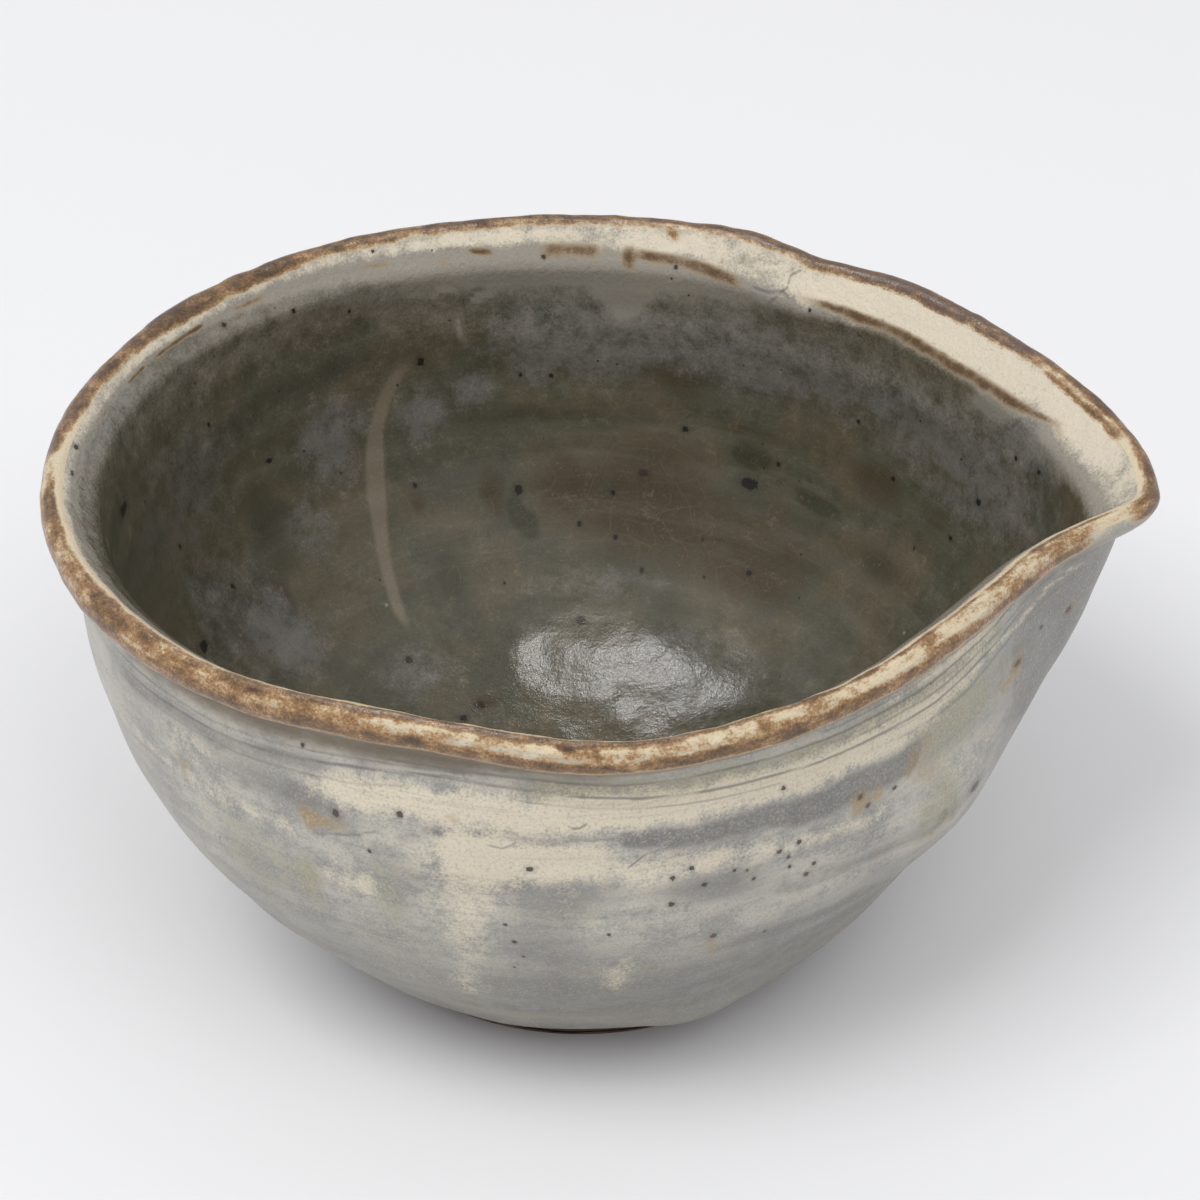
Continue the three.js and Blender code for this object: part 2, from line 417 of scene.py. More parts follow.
def outside_rows() -> Rows:
    """The clay's outside, from the crest over the roll and down the wall to the heel."""
    s = SHAPE
    throat = s.roll(s.throat)
    neck = (s.neck_radius, s.rim_height - s.neck_drop)
    hollow = curve([
        throat,
        (throat[0] - 1.2, throat[1] - 0.45),
        (s.neck_radius - 0.2, neck[1] + 1.2),
        neck,
    ], LIP_SPACING)
    wall = curve([
        neck,
        (s.neck_radius + s.shoulder_swell, s.shoulder_height),
        (s.heel_radius + s.belly_spread, s.belly_height),
        (s.heel_radius, s.foot_height + s.heel_rise),
    ], WALL_SPACING)
    return rows_of(arc(90, s.throat, LIP_SPACING) + hollow + wall, outside=True)


def inside_rows() -> Rows:
    """The clay's inside, from the crest over the flange and down to the middle of the floor."""
    s = SHAPE
    shoulder = s.roll(s.inner_shoulder)
    crease = (s.rim_radius - s.crease_inset, s.rim_height - s.crease_drop)
    top = (s.neck_radius - s.wall, s.rim_height - s.neck_drop)
    floor = s.foot_height + s.floor
    flange = curve([
        shoulder,
        (shoulder[0] - 1.2, shoulder[1] - 1.0),
        (crease[0] + 1.2, crease[1] + 1.25),
        crease,
    ], LIP_SPACING)
    turn_down = curve([
        crease,
        (crease[0] - 0.55, crease[1] - 0.6),
        (top[0] - 0.1, top[1] + 0.9),
        top,
    ], LIP_SPACING)
    wall = curve([
        top,
        (s.neck_radius + s.shoulder_swell - s.wall, s.shoulder_height - s.inside_shoulder_drop),
        (s.heel_radius + s.belly_spread - s.wall - s.inside_belly_tuck, floor),
        (0.0, floor),
    ], WALL_SPACING)
    return rows_of(arc(90, s.inner_shoulder, LIP_SPACING) + flange + turn_down + wall, outside=False)


class Bench:
    """Modelling moves that the pieces share."""

    @staticmethod
    def deselect() -> None:
        """Leaves edit mode and deselects every object."""
        if bpy.context.mode != "OBJECT":
            bpy.ops.object.mode_set(mode="OBJECT")
        bpy.ops.object.select_all(action="DESELECT")

    @staticmethod
    def pick(piece: bpy.types.Object) -> None:
        """Makes piece the only selected object.

        Args:
            piece: The object to select.
        """
        Bench.deselect()
        piece.select_set(True)
        bpy.context.view_layer.objects.active = piece

    @staticmethod
    def draw(name: str, points: list[tuple[float, float, float]]) -> bpy.types.Object:
        """Draws a line by extruding one vertex from point to point, and leaves it in edit mode.

        Args:
            name: The new object's name.
            points: Where the line goes, in metres.

        Returns:
            The object, all of it selected.
        """
        Bench.deselect()
        bpy.ops.mesh.primitive_plane_add(size=MM, location=(0, 0, 0))
        piece = bpy.context.object
        piece.name = name
        piece.data.name = name
        bpy.ops.object.mode_set(mode="EDIT")
        bpy.ops.mesh.select_all(action="SELECT")
        bpy.ops.mesh.merge(type="CENTER")
        bpy.ops.transform.translate(value=points[0])
        for start, end in zip(points, points[1:]):
            step = tuple(b - a for a, b in zip(start, end))
            bpy.ops.mesh.extrude_region_move(TRANSFORM_OT_translate={"value": step})
        bpy.ops.mesh.select_all(action="SELECT")
        return piece

    @staticmethod
    def spin(name: str, rows: Rows, steps: int) -> bpy.types.Object:
        """Draws the rows as a line and turns it round the axis with a Screw modifier.

        Args:
            name: The new object's name.
            rows: The profile. It starts and ends on the axis, or where it started.
            steps: How many columns go round.

        Returns:
            The closed mesh, its doubles merged and its faces outwards.
        """
        piece = Bench.draw(name, [(r * MM, 0.0, z * MM) for r, z in rows.points])
        Bench.pick(piece)
        turning = piece.modifiers.new("turning", "SCREW")
        turning.axis = "Z"
        turning.steps = steps
        turning.render_steps = steps
        turning.use_merge_vertices = True
        turning.merge_threshold = MERGE_DISTANCE
        bpy.ops.object.modifier_apply(modifier=turning.name)
        bpy.ops.object.mode_set(mode="EDIT")
        bpy.ops.mesh.select_all(action="SELECT")
        bpy.ops.mesh.remove_doubles(threshold=MERGE_DISTANCE)
        if Bench.volume(piece) < 0:
            bpy.ops.mesh.flip_normals()
        bpy.ops.object.mode_set(mode="OBJECT")
        return piece

    @staticmethod
    def volume(piece: bpy.types.Object) -> float:
        """The volume inside a closed mesh in edit mode.

        Args:
            piece: The object.

        Returns:
            The volume, negative where the faces point inwards.
        """
        piece.update_from_editmode()
        mesh = piece.data
        places = Bench.places(mesh)
        mesh.calc_loop_triangles()
        corners = np.zeros(len(mesh.loop_triangles) * 3, np.int32)
        mesh.loop_triangles.foreach_get("vertices", corners)
        a, b, c = (places[corners[i::3]] for i in range(3))
        return float(np.einsum("ij,ij->i", a, np.cross(b, c)).sum() / 6)

    @staticmethod
    def places(mesh: bpy.types.Mesh) -> np.ndarray:
        """Where a mesh's vertices are.

        Args:
            mesh: The mesh.

        Returns:
            One row of x, y and z for each vertex.
        """
        flat = np.zeros(len(mesh.vertices) * 3, np.float32)
        mesh.vertices.foreach_get("co", flat)
        return flat.reshape(-1, 3).astype(float)

    @staticmethod
    def move(mesh: bpy.types.Mesh, places: np.ndarray) -> None:
        """Moves the mesh's vertices to places."""
        mesh.vertices.foreach_set("co", places.astype(np.float32).ravel())
        mesh.update()

    @staticmethod
    def paint(mesh: bpy.types.Mesh, name: str, values: np.ndarray) -> None:
        """Stores a number or a vector for each vertex, for the finish to read.

        Args:
            mesh: The mesh.
            name: What the finish asks for.
            values: One number or one vector for each vertex.
        """
        single = values.ndim == 1
        layer = mesh.attributes.new(name, "FLOAT" if single else "FLOAT_VECTOR", "POINT")
        layer.data.foreach_set("value" if single else "vector", values.astype(np.float32).ravel())

    @staticmethod
    def repaint(piece: bpy.types.Object, uncut: bpy.types.Mesh) -> None:
        """Gives the vertices that a cut made what the nearest vertex of the uncut mesh stores.

        Args:
            piece: The cut piece.
            uncut: The mesh as it was before the cut.
        """
        tree = KDTree(len(uncut.vertices))
        for count, place in enumerate(Bench.places(uncut)):
            tree.insert(place, count)
        tree.balance()
        nearest = np.array([tree.find(place)[1] for place in Bench.places(piece.data)])
        for layer in uncut.attributes:
            if layer.domain != "POINT" or layer.data_type not in ("FLOAT", "FLOAT_VECTOR"):
                continue
            if layer.name == "position":
                continue
            single = layer.data_type == "FLOAT"
            field = "value" if single else "vector"
            values = np.zeros(len(uncut.vertices) * (1 if single else 3), np.float32)
            layer.data.foreach_get(field, values)
            values = values.reshape(len(uncut.vertices), -1)[nearest].ravel()
            piece.data.attributes[layer.name].data.foreach_set(field, values)

    @staticmethod
    def smooth(piece: bpy.types.Object, sharp: float = 50) -> None:
        """Smooths the shading, apart from edges sharper than the given angle."""
        Bench.pick(piece)
        bpy.ops.object.shade_smooth_by_angle(angle=math.radians(sharp))

    @staticmethod
    def cut(piece: bpy.types.Object, cutter: bpy.types.Object, keep_inside: bool) -> None:
        """Cuts piece with a Boolean modifier and applies it.

        Args:
            piece: The object that is cut.
            cutter: The solid that cuts it.
            keep_inside: True keeps what is inside the cutter, False what is outside.
        """
        Bench.pick(piece)
        modifier = piece.modifiers.new("notch", "BOOLEAN")
        modifier.operation = "INTERSECT" if keep_inside else "DIFFERENCE"
        modifier.solver = "EXACT"
        modifier.object = cutter
        bpy.ops.object.modifier_apply(modifier=modifier.name)


@dataclass(frozen=True)
class Spun:
    """A spun mesh with the place on the bowl of each of its vertices.

    Args:
        piece: The object, still round.
        angle: Turn of each vertex, in degrees.
        row: Which row of the profile each vertex is on.
        rows: The profile that was spun.
    """

    piece: bpy.types.Object
    angle: np.ndarray
    row: np.ndarray
    rows: Rows

    @property
    def along(self) -> np.ndarray:
        """Distance of each vertex from the crest of the lip."""
        return self.rows.along[self.row]


def spun(name: str, rows: Rows) -> Spun:
    """Spins a profile and finds the place of each vertex on it.

    Args:
        name: The new object's name.
        rows: The profile.

    Returns:
        The mesh and its places.
    """
    piece = Bench.spin(name, rows, COLUMNS)
    places = Bench.places(piece.data) / MM
    radius = np.hypot(places[:, 0], places[:, 1])
    angle = np.degrees(np.arctan2(places[:, 1], places[:, 0]))
    spots = np.stack([radius, places[:, 2]], axis=1)
    row = np.empty(len(spots), int)
    batch = 20000
    for start in range(0, len(spots), batch):
        part = spots[start:start + batch]
        distance = ((part[:, None, :] - rows.points[None, :, :]) ** 2).sum(axis=2)
        row[start:start + batch] = np.argmin(distance, axis=1)
    return Spun(piece, angle, row, rows)


class Tone(Enum):
    """What a painted place of the glaze turns to."""

    CREAM = "cream"
    MILK = "milk"
    SMOKE = "smoke"
    MOSS = "moss"
    RUST = "rust"
    IRON = "iron"
    OCHRE = "ochre"
    # Partly painted shade: the soft brown band under the roll of the lip
    UNDERLIP_UMBER_AND_SHADE = "underlip_umber_and_shade"
    PLUM = "plum"
    DRIP = "drip"


@dataclass(frozen=True)
class Patch:
    """A soft oval patch: its tone, place, half width, half height, strength and slant."""

    tone: Tone
    turn: float
    along: float
    across: float
    down: float
    strength: float = 1.0
    slant: float = 0.0

    def on(self, angle: np.ndarray, along: np.ndarray) -> np.ndarray:
        """The patch's share.

        Args:
            angle: Turn of each place.
            along: Distance of each place from the crest.

        Returns:
            The share at each place.
        """
        across = round_way(angle, self.turn)
        down = along - self.along - self.slant * across
        spread = (across / self.across) ** 2 + (down / self.down) ** 2
        return self.strength * np.exp(-(spread**1.5))


@dataclass(frozen=True)
class Band:
    """A band round the bowl, given by turn, upper edge and lower edge, with soft edges."""

    tone: Tone
    edges: tuple[tuple[float, float, float], ...]
    strength: float = 1.0
    soft: float = 0.6
    fade: float = 6.0

    def on(self, angle: np.ndarray, along: np.ndarray) -> np.ndarray:
        """The band's share.

        Args:
            angle: Turn of each place.
            along: Distance of each place from the crest.

        Returns:
            The share at each place.
        """
        first = self.edges[0][0]
        reach = (angle - first) % 360
        turns = [turn - first for turn, _, _ in self.edges]
        low = np.interp(reach, turns, [edge for _, edge, _ in self.edges])
        high = np.interp(reach, turns, [edge for _, _, edge in self.edges])
        share = ease(along, low - self.soft, low + self.soft)
        share *= 1 - ease(along, high - self.soft, high + self.soft)
        if turns[-1] < 360:
            share *= ease(reach, 0, self.fade) * (1 - ease(reach, turns[-1] - self.fade, turns[-1]))
        return self.strength * share


@dataclass(frozen=True)
class Run:
    """A streak or run of glaze down a path, from one half width to another."""

    tone: Tone
    path: Path
    start_width: float
    end_width: float
    strength: float = 1.0
    tip: float = 0.1

    def on(self, angle: np.ndarray, along: np.ndarray) -> np.ndarray:
        """The run's share.

        Args:
            angle: Turn of each place.
            along: Distance of each place from the crest.

        Returns:
            The share at each place.
        """
        side, reach = beside(self.path, angle, along)
        width = self.start_width + (self.end_width - self.start_width) * reach
        ends = ease(reach, 0, self.tip) * (1 - ease(reach, 1 - self.tip, 1))
        return self.strength * np.exp(-(np.abs(side / width) ** 2.2)) * (0.1 + 0.9 * ends)


@dataclass(frozen=True)
class Line:
    """A fine line in the glaze, such as a groove, where grey glaze gathers and a dark line is drawn as
    painted shade, or a crack.
    """

    path: Path
    width: float
    strength: float = 1.0


@dataclass(frozen=True)
class Speck:
    """A spot of iron or a pinhole: its place, half height, share of rust, and width for its height."""

    turn: float
    along: float
    size: float
    rust: float = 0.0
    stretch: float = 1.0

    def apart(self, other: "Speck") -> float:
        """How far another speck lies from this one, in millimetres."""
        across = float(round_way(np.array(self.turn), other.turn))
        return math.hypot(across, self.along - other.along)


def specks_at(*places: tuple[float, ...]) -> tuple[Speck, ...]:
    """A speck for each of the places, which hold a speck's values in their order."""
    return tuple(Speck(*place) for place in places)


MAIN_GROOVE: Path = (
    (-150, 15.3), (-127, 15.6), (-114, 14.3), (-101, 12.7), (-90, 12.9), (-75, 14.6), (-58, 16.6),
    (-40, 16.8), (-27, 15.7), (-18, 12.8),
)
UPPER_GROOVE: Path = (
    (-112, 11.9), (-90, 11.3), (-70, 12.2), (-57, 13.2), (-40, 13.3), (-27, 12.7), (-17, 10.0),
)
LEFT_GROOVE: Path = ((-150, 17.0), (-127, 17.4), (-112, 16.4), (-104, 14.6))
BELLY_RIDGE: Path = (
    (-170, 59), (-125, 60), (-105, 58.5), (-85, 56.5), (-68, 54), (-57, 52), (-47, 50), (-30, 43),
    (-12, 40),
)


@dataclass(frozen=True)
class Swell:
    """A soft oval swelling, or with a negative height a flat, on the outside of the wall."""

    turn: float
    along: float
    across: float
    down: float
    height: float

    def at(self, angle: np.ndarray, along: np.ndarray) -> np.ndarray:
        """The swelling's height at each place."""
        across = bell(round_way(angle, self.turn), self.across)
        return self.height * across * bell(along - self.along, self.down)


@dataclass(frozen=True)
class HandWork:
    """The unevenness that throwing, turning and glazing leave, as a height over the clean shape."""

    swells: tuple[Swell, ...] = (
        Swell(-140, 43, 26, 13, 1.5),
        Swell(-26, 39, 15, 9, 1.4),
        Swell(-51, 59, 20, 10, -1.9),
        Swell(-8, 37, 9, 10, -1.0),
        Swell(-38, 38, 12, 8, 1.8),
        Swell(-16, 32, 7, 6, 0.9),
        Swell(-10, 21, 7, 6, -0.8),
        Swell(-153, 26, 22, 16, 0.55),
        Swell(-70, 77, 14, 7, 1.6),
    )
    rim_push: tuple[Bell, ...] = (Bell(-101, 12, -1.2), Bell(-58, 18, 1.0), Bell(-172, 16, 0.6))
    rim_lift: tuple[Bell, ...] = (Bell(-101, 12, 0.4), Bell(-58, 20, -1.0), Bell(-124, 9, -0.4))
    rim_depth: float = 20.0
    thin_lip: Bell = Bell(-85, 60, 0.7)
    grooves: tuple[Line, ...] = (
        Line(MAIN_GROOVE, 0.55, -0.3),
        Line(UPPER_GROOVE, 0.5, -0.22),
        Line(LEFT_GROOVE, 0.5, -0.16),
        Line(BELLY_RIDGE, 2.6, 0.5),
        Line(((-125, 41.5), (-60, 41.5), (-25, 40.5)), 2.2, 0.25),
        Line(((-135, 33), (-60, 33), (-30, 31)), 2.0, -0.2),
        Line(((-95, 24.5), (-60, 27.5), (-35, 29)), 1.8, -0.25),
        Line(((0, 30), (90, 27), (170, 30)), 2.4, 0.35),
        Line(((10, 45), (120, 47), (200, 44)), 3.0, -0.35),
        Line(((20, 16), (90, 14.5), (170, 15.5)), 0.6, -0.3),
        Line(((5, 62), (100, 60), (180, 58)), 2.6, 0.4),
    )
    narrow_flange: tuple[Bell, ...] = (Bell(112, 22, 1.0), Bell(160, 28, 1.9), Bell(-130, 50, 1.0))
    crease_along: float = -7.4
    throwing_rise: float = 6.5
    floor_along: float = -62.0
    lip_lumps: tuple[Lumps, ...] = (Lumps(0.3, 11.0, 3.1), Lumps(0.16, 3.2, 7.7))
    lip_grit: Lumps = Lumps(0.05, 1.4, 9.3)
    wall_lumps: tuple[Lumps, ...] = (Lumps(0.34, 22.0, 5.5), Lumps(0.1, 7.0, 15.5))
    wheel_marks: Lumps = Lumps(0.16, 4.6, 11.3)
    ring_height: float = 0.1
    ring_fading: Lumps = Lumps(0.4, 18.0, 2.2)
    floor_lumps: tuple[Lumps, ...] = (Lumps(0.5, 12.0, 8.8), Lumps(0.2, 4.5, 1.2))

    def height(self, spots: np.ndarray, angle: np.ndarray, along: np.ndarray) -> np.ndarray:
        """How far the surface stands out.

        Args:
            spots: One row of x, y and z for each place.
            angle: Turn of each place.
            along: Distance of each place from the crest.

        Returns:
            The height over the clean shape at each place.
        """
        made = bell(along, 7.0) * sum(lumps.at(spots) for lumps in self.lip_lumps)
        made += bell(along, 9.0) * self.lip_grit.at(spots)
        body = ease(np.abs(along), 6, 16)
        inside = along < 0
        floor = 1 - ease(along, self.floor_along - 12, self.floor_along)
        stretched = wheel_place(angle, along) * np.array([0.22, 0.22, 1.0])
        made += body * (1 - floor) * self.wheel_marks.at(stretched)
        made += body * sum(lumps.at(spots) for lumps in self.wall_lumps)
        rings = np.sin(2 * math.pi * (along / self.throwing_rise + angle / 360))
        rings *= self.ring_height * (0.6 + self.ring_fading.at(spots))
        made += body * inside * (1 - floor) * rings
        made += floor * inside * sum(lumps.at(spots) for lumps in self.floor_lumps)
        for groove in self.grooves:
            side, reach = beside(groove.path, angle, along)
            ends = ease(reach, 0, 0.12) * (1 - ease(reach, 0.88, 1))
            made += (along > 0) * groove.strength * ends * bell(side, groove.width)
        for swell in self.swells:
            made += (along > 0) * swell.at(angle, along)
        return made

    def shift(self, angle: np.ndarray, along: np.ndarray) -> np.ndarray:
        """How far the rim is pushed and lifted, and the inner flange narrowed.

        Args:
            angle: Turn of each place.
            along: Distance of each place from the crest.

        Returns:
            The distance outwards and the distance upwards at each place.
        """
        rim = 1 - ease(np.abs(along), 4, self.rim_depth)
        out = rim * sum(push.at(angle) for push in self.rim_push)
        up = rim * sum(lift.at(angle) for lift in self.rim_lift)
        below = 1 - ease(along, self.crease_along, self.crease_along - 16)
        above = ease(along, -1.8, self.crease_along)
        narrow = sum(bell_there.at(angle) for bell_there in self.narrow_flange)
        narrow = narrow * np.where(along > self.crease_along, above, below) * (along < 0)
        thin = self.thin_lip.at(angle) * ease(along, 1.0, -1.8) * below
        return np.stack([out + 0.8 * narrow + thin, up + 0.6 * narrow - 0.1 * thin], axis=1)


@dataclass(frozen=True)
class PaintBook:
    """Where the glaze changes colour, listed for the outside, the inside and the lip."""

    outside: tuple[Patch | Run, ...]
    inside: tuple[Patch | Run, ...]
    lip: tuple[Patch | Band, ...]
    lines: tuple[tuple[Line, ...], ...]
    outside_specks: tuple[Speck, ...]
    inside_specks: tuple[Speck, ...]
    line_reach: float = 1.3
    speck_gap: float = 4.5
    speck_layers: int = 3
    wander_round: tuple[Lumps, ...] = (Lumps(1.5, 6.0, 21.0), Lumps(0.5, 2.2, 23.0))
    wander_along: tuple[Lumps, ...] = (Lumps(0.9, 7.0, 31.0), Lumps(0.35, 2.4, 33.0))

    def tone(self, tone: Tone, angle: np.ndarray, along: np.ndarray) -> np.ndarray:
        """How strong one tone is.

        Args:
            tone: The tone.
            angle: Turn of each place.
            along: Distance of each place from the crest.

        Returns:
            The strength at each place.
        """
        made = np.zeros_like(along)
        for mark in self.lip:
            if mark.tone is tone:
                made = np.maximum(made, mark.on(angle, along))
        for marks, there in ((self.outside, along > 0), (self.inside, along <= 0)):
            for mark in marks:
                if mark.tone is tone:
                    made += there * mark.on(angle, along)
        return made

    def line(self, layer: int, angle: np.ndarray, along: np.ndarray) -> tuple[np.ndarray, np.ndarray]:
        """The nearest fine line of a layer, in which no two lines lie close together.

        Args:
            layer: Which layer.
            angle: Turn of each place.
            along: Distance of each place from the crest.

        Returns:
            How many half widths each place lies beside the line, and how strong the line is there.
        """
        nearest = np.full(len(angle), np.inf)
        offset = np.full(len(angle), 9.0)
        share = np.zeros(len(angle))
        for line in self.lines[layer]:
            side, reach = beside(line.path, angle, along)
            closer = np.abs(side) < nearest
            nearest = np.where(closer, np.abs(side), nearest)
            ends = ease(reach, 0, 0.06) * (1 - ease(reach, 0.94, 1))
            near = 1 - ease(np.abs(side), self.line_reach - 0.2, self.line_reach)
            offset = np.where(closer, side / line.width, offset)
            share = np.where(closer, line.strength * ends * near, share)
        return offset, share

    def layers(self) -> list[list[Speck]]:
        """Sorts the specks into layers, so that those of one layer lie apart.

        Returns:
            The specks of each layer.
        """
        made: list[list[Speck]] = [[] for _ in range(self.speck_layers)]
        for speck in self.outside_specks + self.inside_specks:
            free = [layer for layer in made if all(speck.apart(other) > self.speck_gap for other in layer)]
            (free or made[-1:])[0].append(speck)
        return made

    def speck(
        self, specks: list[Speck], angle: np.ndarray, along: np.ndarray
    ) -> tuple[np.ndarray, np.ndarray]:
        """The nearest speck of a layer.

        Args:
            specks: The layer's specks.
            angle: Turn of each place.
            along: Distance of each place from the crest.

        Returns:
            The way to the speck in its half widths with the distance as a third part, and its
            share of rust.
        """
        way = np.full((len(angle), 3), 50.0)
        rust = np.zeros(len(angle))
        nearest = np.full(len(angle), np.inf)
        for speck in specks:
            across = round_way(angle, speck.turn) / speck.stretch
            down = along - speck.along
            distance = np.hypot(across, down)
            closer = distance < nearest
            nearest = np.where(closer, distance, nearest)
            scaled = np.stack([across, down, distance], axis=1) / speck.size
            way = np.where(closer[:, None], scaled, way)
            rust = np.where(closer, speck.rust, rust)
        return way, rust


CREAM, MILK, SMOKE, MOSS = Tone.CREAM, Tone.MILK, Tone.SMOKE, Tone.MOSS
RUST, IRON, OCHRE, UNDERLIP_UMBER_AND_SHADE, PLUM = Tone.RUST, Tone.IRON, Tone.OCHRE, Tone.UNDERLIP_UMBER_AND_SHADE, Tone.PLUM
DRIP = Tone.DRIP

